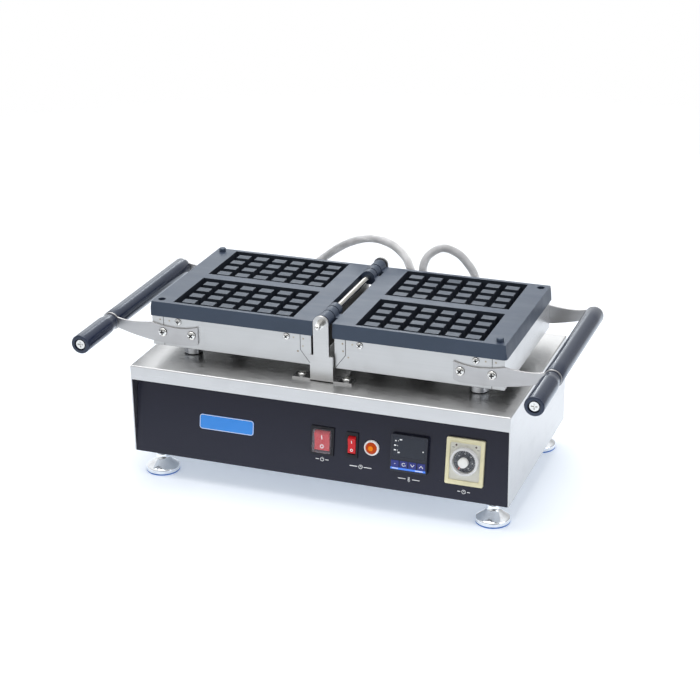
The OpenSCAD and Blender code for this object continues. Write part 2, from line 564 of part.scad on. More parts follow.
module tray() difference() {
    box([tray_x0, -tray_y, tray_bot], [tray_x1, tray_y, plate_bot]);
    box([tray_x0 + tray_t, -tray_y + tray_t, tray_bot + tray_t], [tray_x1 - tray_t, tray_y - tray_t, plate_bot + 1]);
    for (s = [0, 1]) mirror([0, s, 0]) {
        for (x = lug_x) translate([x, 0, plate_bot - lug_drop]) cyl_y(M5 / 2 + slip, -tray_y - 1, -tray_y + tray_t + 1);
        for (x = arm_screws) translate([x, 0, arm_screw_z]) cyl_y(M6 / 2 + slip, -tray_y - 1, -tray_y + tray_t + 1);
        // seams where the end caps' flaps lie on the tray's long sides
        box([tray_x1 - 16.4, -tray_y - 1, tray_bot - 1], [tray_x1 - 15.7, -tray_y + 0.5, plate_bot + 1]);
        box([tray_x0 + 14.3, -tray_y - 1, tray_bot + 19], [tray_x0 + 15, -tray_y + 0.5, plate_bot + 1]);
        translate([tray_x0 + 14.3, -tray_y + 0.5, tray_bot + 19]) rotate([90, 0, 0]) linear_extrude(2) polygon([[0, 0], [0.7, 0], [-14.3 + 0.7, -19], [-14.3, -19]]);
    }
    translate([tray_gland_x, tray_y, tray_bot + tray_gland_z]) rotate([90, 0, 0]) translate([0, 0, -1]) cylinder(r = gland_af * 0.36 + slip, h = tray_t + 2);
}

// heating tube in a long loop under the plate, and the plate that clamps it
module element() {
    z = plate_bot - tube_d / 2;
    x0 = tray_x0 + 30; x1 = tray_x1 - 40; r = loop_r;
    for (y = [-3, -1, 1, 3]) translate([x0, y * r, z]) rotate([0, 90, 0]) cylinder(d = tube_d, h = x1 - x0);
    for (y = [-2, 2]) translate([x1, y * r, z]) rotate([0, 0, -90]) rotate_extrude(angle = 180) translate([r, 0]) circle(d = tube_d);
    translate([x0, 0, z]) rotate([0, 0, 90]) rotate_extrude(angle = 180) translate([r, 0]) circle(d = tube_d);
    difference() {
        translate([(tray_x0 + tray_x1) / 2, 0, clamp_z]) slab(tray_x1 - tray_x0 - 2 * tray_t - 2, 2 * (tray_y - tray_t) - 2, clamp_t, 4);
        for (x = clamp_x) translate([x, 0, clamp_z - 1]) cylinder(r = M5 / 2 + slip, h = clamp_t + 2);
        for (x = lug_x, s = [-1, 1]) translate([x, s * tray_y, clamp_z - 1]) translate([-9.5, -14.7, 0]) cube([19, 29.4, clamp_t + 2]);
    }
}

// screws of one iron: two up through the element's clamp into the plate, four through the tray into the plate's lugs, four through the arms
module iron_screws() {
    for (x = clamp_x) translate([x, 0, clamp_z]) {
        translate([0, 0, -3.5]) cylinder(d = 8 / cos(30), h = 3.5, $fn = 6);
        translate([0, 0, -eps]) cylinder(r = M5 / 2, h = plate_bot - clamp_z + clamp_bore);
    }
    for (s = [0, 1]) mirror([0, s, 0]) {
        for (x = lug_x) translate([x, -tray_y, plate_bot - lug_drop]) rotate([90, 0, 0]) pan_screw(4.4, 2.6, M5 / 2, tray_t + 9);
        for (x = arm_screws) translate([x, -tray_y - arm_t, arm_screw_z]) rotate([90, 0, 0]) {
            pan_screw(5.8, 3.2, M6 / 2, arm_t + tray_t + 7);
            translate([0, 0, -arm_t - tray_t - 5]) hex_nut(10, 5, M6 / 2 + fit);
        }
    }
}

// outline of an arm in x and z: a lap on the tray, a waist past the tray's corner and an eye round the handle's bolt
function para(x, x0, x1, d) = d * pow((x - x0) / (x1 - x0), 2);
module arm_outline() {
    low = arm_z0;
    dip = arm_x0 + 0.45 * arm_lap;
    waist = (tray_x1 + handle_x) / 2 + 1;
    xe = handle_x - eye_r * 0.75;
    ze = handle_z + eye_r * 0.6;
    zq = handle_z - eye_r * 0.6;
    peak = low + arm_h + 4.8;
    n = 12;
    difference() {
        union() {
            polygon(concat(
                [for (i = [0 : n]) let (x = arm_x0 + (dip - arm_x0) * i / n) [x, low + arm_h + para(x, dip, arm_x0, 4.9)]],
                [for (i = [1 : n]) let (x = dip + (tray_x1 - dip) * i / n) [x, low + arm_h + para(x, dip, tray_x1, 4.8)]],
                [for (i = [1 : n]) let (x = tray_x1 + (waist - tray_x1) * i / n) [x, peak - 2.4 + para(x, waist, tray_x1, 2.4)]],
                [for (i = [1 : n]) let (x = waist + (xe - waist) * i / n) [x, peak - 2.4 + para(x, waist, xe, ze - peak + 2.4)]],
                [[handle_x, handle_z]],
                [for (i = [n : -1 : 1]) let (x = dip + (xe - dip) * i / n) [x, low + para(x, dip, xe, zq - low)]],
                [for (i = [0 : n - 1]) let (x = dip + (arm_x0 + 4 - dip) * i / n) [x, low + para(x, dip, arm_x0 + 4, 1.6)]],
                [[arm_x0 + 1.2, low + 2.8], [arm_x0, low + 5.6]]));
            translate([handle_x, handle_z]) circle(r = eye_r);
        }
        translate([handle_x, handle_z]) circle(d = bolt_d + 2 * slip);
        for (x = arm_screws) translate([x, arm_screw_z]) circle(d = M6 + 2 * slip);
    }
}
module arms() for (s = [0, 1]) mirror([0, s, 0]) translate([0, -tray_y, 0]) rotate([90, 0, 0]) linear_extrude(arm_t) arm_outline();

grip_y0 = -tray_y - arm_t;                  // where a grip meets its arm
module handle_bolt() translate([handle_x, 0, handle_z]) {
    head = grip_y0 - grip_l + 4;
    difference() {
        union() {
            cyl_y(bolt_d / 2, head - 1, tray_y + arm_t + 8);
            cyl_y(bolt_d * 0.75, head - 3, head);
        }
        for (a = [0, 90]) rotate([0, a, 0]) box([-bolt_d * 0.5, head - 4, -0.8], [bolt_d * 0.5, head - 1.2, 0.8]);
    }
    translate([0, tray_y + arm_t, 0]) rotate([-90, 0, 0]) washer(bolt_d, 1.6, bolt_d / 2 + fit);
    translate([0, tray_y + arm_t + 1.6, 0]) rotate([-90, 0, 0]) hex_nut(bolt_d * 1.63, 6, bolt_d / 2 + fit);
}
module sleeve() translate([handle_x, 0, handle_z]) difference() {
    cyl_y(handle_d / 2, -tray_y, tray_y);
    cyl_y(bolt_d / 2 + fit, -tray_y - 1, tray_y + 1);
}
module grip() translate([handle_x, 0, handle_z]) {
    r = handle_d / 2; q = grip_neck_d / 2; b = bolt_d / 2 + fit; e = bolt_d * 0.97;
    translate([0, grip_y0, 0]) rotate([90, 0, 0]) rotate_extrude()
        polygon([[b, 0], [q - 0.6, 0], [q, 0.6], [q, 5], [q + 0.35 * (r - q), 9], [q + 0.8 * (r - q), 13.5], [r, 18], [r, grip_l - 1.6], [r - 0.5, grip_l - 0.5], [r - 1.6, grip_l], [e, grip_l], [e, grip_l - 4], [b, grip_l - 4]]);
}
module tray_gland() translate([tray_gland_x, tray_y, tray_bot + tray_gland_z]) rotate([-90, 0, 0]) gland(gland_h, tray_t, 0);

module at_right() translate([0, irons_y, 0]) children();
module at_left() translate([0, irons_y, 0]) mirror([1, 0, 0]) children();

module right_plate() color([0.40, 0.44, 0.50]) at_right() casting();
module left_plate() color([0.40, 0.44, 0.50]) at_right() rotate([0, 0, 180]) casting();
module right_tray() color([0.77, 0.78, 0.79]) at_right() tray();
module left_tray() color([0.77, 0.78, 0.79]) at_left() tray();
module right_element() color([0.45, 0.42, 0.40]) at_right() element();
module left_element() color([0.45, 0.42, 0.40]) at_left() element();
module right_screws() color([0.86, 0.86, 0.84]) at_right() iron_screws();
module left_screws() color([0.86, 0.86, 0.84]) at_left() iron_screws();
module right_arms() color([0.76, 0.77, 0.77]) at_right() arms();
module left_arms() color([0.76, 0.77, 0.77]) at_left() arms();
module right_handle_bolt() color([0.84, 0.88, 0.86]) at_right() handle_bolt();
module left_handle_bolt() color([0.84, 0.88, 0.86]) at_left() handle_bolt();
module right_sleeve() color([0.14, 0.15, 0.20]) at_right() sleeve();
module left_sleeve() color([0.14, 0.15, 0.20]) at_left() sleeve();
module right_grip() color([0.14, 0.15, 0.20]) at_right() grip();
module left_grip() color([0.14, 0.15, 0.20]) at_left() grip();
module right_gland() color([0.75, 0.75, 0.73]) at_right() tray_gland();
module left_gland() color([0.75, 0.75, 0.73]) at_left() tray_gland();

// ---------------------------------------------------------------- conduits

module cable_glands() color([0.75, 0.75, 0.73]) {
    base_gland_places() gland(gland_h, sheet, 0);
    translate([-base_w / 2 + 60, rear_y, base_z + 30]) rotate([-90, 0, 0]) gland(gland_h, sheet, 4.5);
}
function gland_end(x, s) = [s * x, irons_y + tray_y + gland_h, tray_bot + tray_gland_z];
function base_end(x) = [x, rear_y - gland_af / 2 - 0.6, base_top + gland_h];
module conduit(a, route, b, ref) {
    p = concat([a - [0, 14, 0], a, a + [0, 8, 0]], [for (q = route) q + [0, base_y, 0]], [b + [0, 0, 7], b, b - [0, 0, 12]]);
    tube(smooth(p, 3), [0, 1, 0], [0, 0, -1], conduit_d / 2, unit(ref), 12);
}
module left_conduit() color([0.72, 0.72, 0.73]) conduit(gland_end(tray_gland_x, -1), left_route, base_end(base_gland_x), [1, 0, 0]);
module right_conduit() color([0.72, 0.72, 0.73]) conduit(gland_end(tray_gland_x, 1), right_route, base_end(base_gland_x + base_gland_step), [1, 0, 0]);

// ---------------------------------------------------------------- controls, on the panel

function pin_over(cut, rw) = (cut[0] - rw) / 2 - 0.5;      // how far a rocker's pin stands out at each side
module switch_body(w, h, cut, rw, rr, depth) difference() {
    union() {
        translate([-w / 2, -h / 2, 0]) cube([w, h, bezel_t]);
        translate([-cut[0] / 2, -cut[1] / 2, -depth]) cube([cut[0], cut[1], depth + eps]);
    }
    translate([-rw / 2 - gap, -rr - 2 * gap, -10]) cube([rw + 2 * gap, 2 * rr + 4 * gap, 10 + bezel_t + 1]);
    translate([-rw / 2 - pin_over(cut, rw) - slip, 0, -3]) rotate([0, 90, 0]) cylinder(r = switch_pin_d / 2 + fit, h = rw + 2 * pin_over(cut, rw) + 2 * slip);
}
// rocker about its pin, which lies 3 mm behind the panel's face; two flats meet in a shallow valley
module rocker(cut, rw, rr) translate([0, 0, -3]) rotate([rocker_tip / 2, 0, 0]) {
    v = tan(rocker_tip / 2);
    intersection() {
        translate([-rw / 2, 0, 0]) rotate([90, 0, 90]) linear_extrude(rw)
            polygon([[-rr, -3], [-rr * 0.55, -5], [rr * 0.55, -5], [rr, -3], [rr, rocker_h + rr * v], [0, rocker_h], [-rr, rocker_h + rr * v]]);
        translate([-rw / 2 - 1, 0, 0]) rotate([0, 90, 0]) cylinder(r = rr, h = rw + 2);
    }
    translate([-rw / 2 - pin_over(cut, rw), 0, 0]) rotate([0, 90, 0]) cylinder(d = switch_pin_d, h = rw + 2 * pin_over(cut, rw));
}
module power_switch() color([0.12, 0.12, 0.13]) on_panel(power_x, row_h) switch_body(power_w, power_h, power_cut, power_rocker_w, power_r, 24);
module power_rocker() color([0.80, 0.10, 0.10]) on_panel(power_x, row_h) rocker(power_cut, power_rocker_w, power_r);
module power_boot() color([0.92, 0.75, 0.75, 0.5]) on_panel(power_x, row_h) difference() {
    w = power_w - 6; h = power_h - 6;
    translate([0, 0, bezel_t]) slab(w, h, 5.4, 2.4);
    translate([0, 0, bezel_t - 1]) slab(w - 1.6, h - 1.6, 5.6, 1.8);
}
module alarm_switch() color([0.12, 0.12, 0.13]) on_panel(alarm_x, row_h) switch_body(alarm_w, alarm_h, alarm_cut, alarm_rocker_w, alarm_r, 20);
module alarm_rocker() color([0.80, 0.10, 0.10]) on_panel(alarm_x, row_h) rocker(alarm_cut, alarm_rocker_w, alarm_r);

module lamp_bezel() color([0.90, 0.88, 0.84]) on_panel(lamp_x, row_h) difference() {
    union() {
        rotate_extrude() polygon([[0, 0], [lamp_d / 2, 0], [lamp_d / 2, 2], [lamp_d / 2 - 1.4, 4], [0, 4]]);
        translate([0, 0, -16]) cylinder(r = lamp_d * 0.3, h = 16 + eps);
    }
    translate([0, 0, 1.4]) cylinder(r = lamp_d * 0.38 + fit, h = 5);
}
module lamp_lens() color([0.95, 0.45, 0.12]) on_panel(lamp_x, row_h) translate([0, 0, 1.4]) intersection() {
    cylinder(r = lamp_d * 0.38, h = 6);
    translate([0, 0, 5 - lamp_d * 0.5]) sphere(r = lamp_d * 0.5);
}

module key_places() for (i = [0 : 3]) translate([(i - 1.5) * key_pitch, -key_drop, 0]) children();
module controller_case() color([0.13, 0.13, 0.15]) on_panel(controller_x, row_h) difference() {
    union() {
        slab(controller_w, controller_w, case_t, 1.5);
        translate([-controller_cut / 2, -controller_cut / 2, -1.3 * controller_w]) cube([controller_cut, controller_cut, 1.3 * controller_w + eps]);
    }
    translate([-controller_w / 2 + 3, -controller_w / 2 + 19, case_t - 1.2]) cube([controller_w - 6, controller_w - 22, 2]);
    key_places() translate([-key_w / 2 - slip, -key_h / 2 - slip, case_t - 3]) cube([key_w + 2 * slip, key_h + 2 * slip, 4]);
}
module controller_window() color([0.06, 0.06, 0.08]) on_panel(controller_x, row_h) translate([-controller_w / 2 + 3.1, -controller_w / 2 + 19.1, case_t - 1.2]) cube([controller_w - 6.2, controller_w - 22.2, 1]);
module key(i) color([0.16, 0.24, 0.62]) on_panel(controller_x, row_h) translate([(i - 1.5) * key_pitch - key_w / 2, -key_drop - key_h / 2, case_t - 3 + key_travel + gap]) cube([key_w, key_h, 3.2 - gap]);
module set_key() key(0);
module shift_key() key(1);
module down_key() key(2);
module up_key() key(3);

module timer_case() color([0.86, 0.82, 0.72]) on_panel(timer_x, row_h) difference() {
    union() {
        slab(timer_w, timer_h, frame_t, 2);
        translate([-timer_cut / 2, -timer_cut / 2, -timer_w]) cube([timer_cut, timer_cut, timer_w + eps]);
    }
    translate([0, 0, frame_t - 1.4]) slab(timer_w - 9, timer_h - 11, 3, 1.5);
    translate([0, knob_up, frame_t - 14]) cylinder(r = 3 + fit, h = 20);
}
module timer_dial() color([0.08, 0.08, 0.09]) on_panel(timer_x, row_h) translate([0, knob_up, frame_t - 1.4]) difference() {
    cylinder(d = dial_d, h = 1);
    translate([0, 0, -1]) cylinder(r = 3.4, h = 3);
}
// clear cup over the dial, with its spindle
module timer_knob() color([0.88, 0.86, 0.80, 0.6]) on_panel(timer_x, row_h) translate([0, knob_up, frame_t - 1.4]) difference() {
    union() {
        translate([0, 0, gap]) cylinder(d = knob_d, h = 6.4 - gap);
        translate([0, 0, 6.4 - eps]) cylinder(d = 12.6, h = 5 + eps);
        translate([0, 0, -12]) cylinder(r = 3, h = 14);
    }
    difference() { translate([0, 0, -1]) cylinder(d = dial_d + 1.2, h = 5.4); translate([0, 0, -2]) cylinder(r = 3, h = 8); }
}
module nameplate() color([0.10, 0.36, 0.66]) on_panel(name_x, row_h + 2) slab(name_l, name_h, 0.8, 4);

module terminal_block() color([0.86, 0.85, 0.80]) translate([-base_w / 2 + 3.5 * block_l / 2, rear_y - 1.3 * block_l, base_z + sheet]) difference() {
    translate([-block_l / 2, -block_d / 2, 0]) cube([block_l, block_d, block_h]);
    for (i = [-2 : 2], y = [-1, 1]) translate([i * block_l / 5, y * block_d * 0.27, block_h * 0.55]) cylinder(r = block_l * 0.04, h = block_h);
}
module contactor() color([0.25, 0.26, 0.28]) translate([-0.04 * base_w, rear_y - 1.6 * contactor_d, base_z + sheet]) {
    w = 0.75 * contactor_d; h = 0.6 * contactor_d;
    translate([-w / 2, -contactor_d / 2, 0]) cube([w, contactor_d, h]);
    translate([-0.4 * w, -0.42 * contactor_d, h - eps]) cube([0.8 * w, 0.84 * contactor_d, 0.4 * h]);
    translate([-0.18 * w, -0.17 * contactor_d, 1.4 * h - 2 * eps]) cube([0.36 * w, 0.34 * contactor_d, 0.14 * h]);
}

// ---------------------------------------------------------------- assembly

base_shell();
control_panel();
rear_panel();
bottom_plate();
cover_screws();
hinge_bracket_front();
hinge_bracket_rear();
bracket_screws();
hinge_rod();
hinge_nuts();
iron_rests();
cable_glands();
left_conduit();
right_conduit();
power_switch();
power_boot();
power_rocker();
alarm_switch();
alarm_rocker();
lamp_bezel();
lamp_lens();
controller_case();
controller_window();
set_key();
shift_key();
down_key();
up_key();
timer_case();
timer_dial();
timer_knob();
nameplate();
terminal_block();
contactor();
foot_fl();
foot_fr();
foot_rl();
foot_rr();
foot_pad_fl();
foot_pad_fr();
foot_pad_rl();
foot_pad_rr();
foot_lock_nuts();
left_plate();
left_tray();
left_element();
left_screws();
left_arms();
left_handle_bolt();
left_sleeve();
left_grip();
left_gland();
right_plate();
right_tray();
right_element();
right_screws();
right_arms();
right_handle_bolt();
right_sleeve();
right_grip();
right_gland();
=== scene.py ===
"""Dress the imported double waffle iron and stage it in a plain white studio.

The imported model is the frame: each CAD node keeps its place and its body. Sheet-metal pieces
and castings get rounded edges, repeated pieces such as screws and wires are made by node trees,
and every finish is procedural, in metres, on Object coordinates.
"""

from __future__ import annotations

import json
import logging
import math
from dataclasses import dataclass, field
from enum import Enum
from typing import Callable, Iterable, Sequence

import bmesh
import bpy
from bmesh.types import BMEdge, BMesh, BMVert
from bpy.types import Material, MeshPolygon, Node, NodeSocket, NodeTree, Object
from mathutils import Matrix, Vector

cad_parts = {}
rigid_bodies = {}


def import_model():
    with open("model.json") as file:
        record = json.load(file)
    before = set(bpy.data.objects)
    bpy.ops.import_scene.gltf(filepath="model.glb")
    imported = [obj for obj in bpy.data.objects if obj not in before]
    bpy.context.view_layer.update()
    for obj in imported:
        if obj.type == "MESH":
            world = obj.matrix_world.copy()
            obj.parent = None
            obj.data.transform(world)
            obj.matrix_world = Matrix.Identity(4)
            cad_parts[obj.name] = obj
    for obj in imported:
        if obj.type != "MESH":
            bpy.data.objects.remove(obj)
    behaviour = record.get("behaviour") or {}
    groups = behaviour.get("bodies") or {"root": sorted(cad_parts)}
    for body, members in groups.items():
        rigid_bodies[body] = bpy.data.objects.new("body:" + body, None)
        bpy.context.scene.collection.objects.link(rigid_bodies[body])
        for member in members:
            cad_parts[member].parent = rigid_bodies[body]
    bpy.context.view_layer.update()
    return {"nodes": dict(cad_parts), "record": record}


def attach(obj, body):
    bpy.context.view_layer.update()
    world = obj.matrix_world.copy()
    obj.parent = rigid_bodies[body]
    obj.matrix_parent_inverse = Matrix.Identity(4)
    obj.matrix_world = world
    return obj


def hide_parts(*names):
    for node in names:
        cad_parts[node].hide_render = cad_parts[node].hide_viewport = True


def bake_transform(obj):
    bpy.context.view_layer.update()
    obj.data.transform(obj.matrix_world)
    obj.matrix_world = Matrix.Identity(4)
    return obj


LOG = logging.getLogger("waffle_iron")
MM = 0.001
ORIGIN = (0, 0, 0)
UPRIGHT = (0, 0, 1)
HEAD_STEPS = 28
FILLET_STEPS = 4
ROUTE_STEPS = 9
FOLD_WIDTH = 2.6
SCREW_TURN = 1.2
TOUCHING = 2e-6
ON_FACE = 0.05
QUARTERS = ((1, 0), (0, 1), (-1, 0), (0, -1))
Pair = tuple[float, float]
Point = tuple[float, float, float]
Colour = tuple[float, float, float]
Spot = tuple[Vector, Vector]


class Grain(Enum):
    """Direction in which a sheet was brushed."""

    ACROSS = (1.0, 0.0, 0.0)
    AWAY = (0.0, 1.0, 0.0)


class Side(Enum):
    """Which iron a piece belongs to, with its sign along X."""

    LEFT = -1
    RIGHT = 1

    @property
    def word(self) -> str:
        """The prefix of this side's node names."""
        return self.name.lower()

    @property
    def body(self) -> str:
        """The name of this side's moving body."""
        return f"{self.word}_iron"


# ---- materials


class Tree:
    """A node tree, built in reading order."""

    def __init__(self, tree: NodeTree) -> None:
        """Take a node tree over and empty it."""
        self.tree = tree
        self.tree.nodes.clear()

    def add(self, kind: str, **values: object) -> Node:
        """Add a node and set its properties.

        Args:
            kind: Blender's name for the node's type.
            values: Properties, or inputs where the name starts with "in_".

        Returns:
            The new node.
        """
        node = self.tree.nodes.new(kind)
        for key, value in values.items():
            if not key.startswith("in_"):
                setattr(node, key, value)
        for key, value in values.items():
            if key.startswith("in_"):
                label = key[3:]
                socket = node.inputs[int(label)] if label.isdigit() else node.inputs[label.replace("_", " ")]
                if isinstance(value, NodeSocket):
                    self.link(value, socket)
                else:
                    socket.default_value = value
        return node

    def link(self, source: NodeSocket, target: NodeSocket) -> None:
        """Connect two sockets."""
        self.tree.links.new(source, target)

    def maths(self, operation: str, first: object, second: object = 0.0) -> NodeSocket:
        """One step of arithmetic on sockets or numbers."""
        return self.add("ShaderNodeMath", operation=operation, in_0=first, in_1=second).outputs[0]

    def times(self, first: object, second: object) -> NodeSocket:
        """A product of sockets or numbers."""
        return self.maths("MULTIPLY", first, second)

    def span(self, value: NodeSocket, low: float, high: float, start: float = 0.3, stop: float = 0.7) -> NodeSocket:
        """Map start..stop to low..high, clamped.

        Args:
            value: Value socket.
            low: Result at start.
            high: Result at stop.
            start: Lower input.
            stop: Upper input.

        Returns:
            The value socket.
        """
        ends = {"in_From_Min": start, "in_From_Max": stop, "in_To_Min": low, "in_To_Max": high}
        return self.add("ShaderNodeMapRange", in_Value=value, **ends).outputs["Result"]


class Graph(Tree):
    """One material's shader tree."""

    def __init__(self, name: str) -> None:
        """Start a material with a Principled shader."""
        self.material = bpy.data.materials.new(name)
        self.material.use_nodes = True
        super().__init__(self.material.node_tree)
        self.output = self.add("ShaderNodeOutputMaterial")
        self.shader = self.add("ShaderNodeBsdfPrincipled")
        self.link(self.shader.outputs["BSDF"], self.output.inputs["Surface"])

    def set(self, **values: object) -> None:
        """Set the shader's own sockets, named with underscores for spaces."""
        for key, value in values.items():
            if isinstance(value, tuple) and len(value) == 3:
                value = (*value, 1.0)
            self.shader.inputs[key.replace("_", " ")].default_value = value

    def place(self, scale: Point = (1.0, 1.0, 1.0)) -> NodeSocket:
        """Object coordinates, stretched.

        Args:
            scale: Factor along each axis.

        Returns:
            The vector socket.
        """
        spots = self.add("ShaderNodeTexCoord").outputs["Object"]
        return self.add("ShaderNodeMapping", in_Vector=spots, in_Scale=scale).outputs["Vector"]

    def noise(self, where: NodeSocket, scale: float, detail: float = 2.0, rough: float = 0.5) -> NodeSocket:
        """Noise between 0 and 1.

        Args:
            where: Vector socket that it reads.
            scale: Repeats in a metre.
            detail: Octaves.
            rough: Share of the finer octaves.

        Returns:
            The value socket.
        """
        values = {"in_Scale": scale, "in_Detail": detail, "in_Roughness": rough}
        return self.add("ShaderNodeTexNoise", in_Vector=where, **values).outputs["Fac"]

    def tones(self, value: NodeSocket, stops: Sequence[tuple[float, Colour]]) -> NodeSocket:
        """Colours along a ramp.

        Args:
            value: Value socket between 0 and 1.
            stops: Position and colour pairs in rising order.

        Returns:
            The colour socket.
        """
        node = self.add("ShaderNodeValToRGB", in_Fac=value)
        ramp = node.color_ramp
        while len(ramp.elements) < len(stops):
            ramp.elements.new(0.5)
        for element, (position, colour) in zip(ramp.elements, stops):
            element.position = position
            element.color = (*colour, 1.0)
        return node.outputs["Color"]

    def blend(self, share: NodeSocket, first: NodeSocket | Colour, second: NodeSocket | Colour) -> NodeSocket:
        """Mix two colours.

        Args:
            share: Value socket, 0 for the first colour.
            first: Colour or socket.
            second: Colour or socket.

        Returns:
            The colour socket.
        """
        node = self.add("ShaderNodeMix", data_type="RGBA", in_Factor=share)
        for socket, value in zip((s for s in node.inputs if s.type == "RGBA"), (first, second)):
            if isinstance(value, tuple):
                socket.default_value = (*value, 1.0)
            else:
                self.link(value, socket)
        return next(s for s in node.outputs if s.type == "RGBA")

    def mottled(
        self, value: NodeSocket, tint: Colour, thin: float, full: float, at: Point = (0.3, 0.5, 0.75)
    ) -> NodeSocket:
        """A tint that gets thin times and full times as bright at the ends of a value's stretch."""
        return self.tones(value, tuple(zip(at, (shade(tint, thin), tint, shade(tint, full)))))

    def colour(self, socket: NodeSocket) -> None:
        """Drive the shader's base colour."""
        self.link(socket, self.shader.inputs["Base Color"])

    def roughness(self, first: NodeSocket, *more: NodeSocket) -> None:
        """Drive the shader's roughness with a sum."""
        for value in more:
            first = self.maths("ADD", first, value)
        self.link(first, self.shader.inputs["Roughness"])

    def relief(self, *layers: tuple[NodeSocket, float, float]) -> None:
        """Drive the shader's normal from bumps, coarse to fine.

        Args:
            layers: Height socket, strength and depth in metres of each layer.
        """
        last = None
        for height, strength, depth in layers:
            node = self.add("ShaderNodeBump", in_Height=height, in_Strength=strength, in_Distance=depth)
            if last is not None:
                self.link(last, node.inputs["Normal"])
            last = node.outputs["Normal"]
        if last is not None:
            self.link(last, self.shader.inputs["Normal"])


def shade(base: Colour, factor: float) -> Colour:
    """A lighter or darker version of a colour."""
    return tuple(min(1.0, c * factor) for c in base)


@dataclass(frozen=True)
class BrushedSteel:
    """Satin stainless sheet with a fine one-way grain, cloudy patches, faint rub marks and, where set, a band of
    painted shade.
    """

    name: str
    grain: Grain = Grain.ACROSS
    tint: Colour = (0.61, 0.615, 0.62)
    gloss: float = 0.275
    streak: float = 0.75
    mottle: float = 0.05
    scorch: float = 0.0

    def make(self) -> Material:
        """Build the material."""
        graph = Graph(self.name)
        along = tuple(0.012 if c else 1.0 for c in self.grain.value)
        wide = tuple(0.3 if c else 1.0 for c in self.grain.value)
        lines = graph.noise(graph.place(along), 2600.0, 2.0, 0.6)
        bands = graph.noise(graph.place(along), 420.0, 3.0, 0.6)
        cloud = graph.noise(graph.place(wide), 9.0, 3.0, 0.55)
        rub = graph.noise(graph.place(), 46.0, 4.0, 0.6)
        tone = graph.maths("ADD", graph.times(bands, 0.35), graph.times(cloud, 0.65))
        sheet = graph.mottled(tone, self.tint, 1 - self.mottle, 1 + self.mottle, (0.3, 0.52, 0.72))
        # Painted shade: a dark band about X = 0, behind the front edge, for the dark that the top reflects under the
        # gap between the irons.
        if self.scorch:
            parts = graph.add("ShaderNodeSeparateXYZ", in_Vector=graph.place())
            near = graph.maths("ABSOLUTE", parts.outputs["X"])
            near = graph.span(near, 1.0, 0.0, self.scorch * 0.5, self.scorch * 1.6)
            behind = graph.span(parts.outputs["Y"], 0.0, 1.0, -0.088, -0.078)
            sheet = graph.blend(graph.times(near, behind), sheet, shade(self.tint, 0.28))
        graph.colour(sheet)
        smear = graph.span(rub, 0.0, 0.07, 0.52, 0.72)
        fine = graph.span(lines, self.gloss - 0.03, self.gloss + 0.06)
        graph.roughness(fine, smear, graph.span(cloud, 0.0, 0.05))
        graph.relief((bands, 0.10, 0.00006), (lines, 0.16, 0.00003))
        graph.set(Metallic=1.0, Anisotropic=self.streak)
        across = tuple(1.0 - c for c in self.grain.value)
        vector = graph.add(
            "ShaderNodeVectorTransform", vector_type="VECTOR", convert_from="OBJECT", convert_to="WORLD",
            in_Vector=across,
        )
        graph.link(vector.outputs["Vector"], graph.shader.inputs["Tangent"])
        return graph.material


@dataclass(frozen=True)
class TurnedSteel:
    """Bright turned or plated metal with faint handling marks."""

    name: str
    tint: Colour = (0.70, 0.70, 0.69)
    gloss: float = 0.16
    wear: float = 0.10
    scale: float = 700.0

    def make(self) -> Material:
        """Build the material."""
        graph = Graph(self.name)
        place = graph.place()
        patch = graph.noise(place, 90.0, 4.0, 0.6)
        grit = graph.noise(place, self.scale, 2.0)
        graph.colour(graph.mottled(patch, self.tint, 0.86, 1.1))
        graph.roughness(graph.span(patch, self.gloss, self.gloss + self.wear), graph.span(grit, 0.0, 0.04))
        graph.relief((grit, 0.08, 0.00004))
        graph.set(Metallic=1.0)
        return graph.material


@dataclass(frozen=True)
class CastCoat:
    """Baked-on coating over a sand-cast plate: fine grain, uneven sheen and rubbed high spots."""

    name: str
    tint: Colour = (0.028, 0.037, 0.064)
    rubbed: Colour = (0.050, 0.064, 0.098)
    gloss: float = 0.34
    sheen: float = 0.62

    def make(self) -> Material:
        """Build the material."""
        graph = Graph(self.name)
        place = graph.place()
        grain = graph.noise(place, 1150.0, 3.0, 0.6)
        pits = graph.noise(place, 420.0, 3.0, 0.55)
        cloud = graph.noise(place, 16.0, 4.0, 0.6)
        wipe = graph.noise(graph.place((0.35, 1.6, 1.0)), 34.0, 4.0, 0.62)
        mottled = graph.mottled(cloud, self.tint, 0.88, 1.14, (0.28, 0.5, 0.74))
        high = graph.span(graph.times(wipe, grain), 0.0, 0.5, 0.26, 0.48)
        graph.colour(graph.blend(high, mottled, self.rubbed))
        graph.roughness(graph.span(wipe, self.gloss, self.gloss + 0.12), graph.span(grain, 0.0, 0.08))
        graph.relief((pits, 0.12, 0.0002), (grain, 0.22, 0.00012))
        graph.set(
            IOR=1.6, Specular_IOR_Level=self.sheen, Specular_Tint=(0.70, 0.87, 1.0), Coat_Weight=0.05,
            Coat_Roughness=0.3, Coat_Tint=(0.85, 0.93, 1.0),
        )
        return graph.material


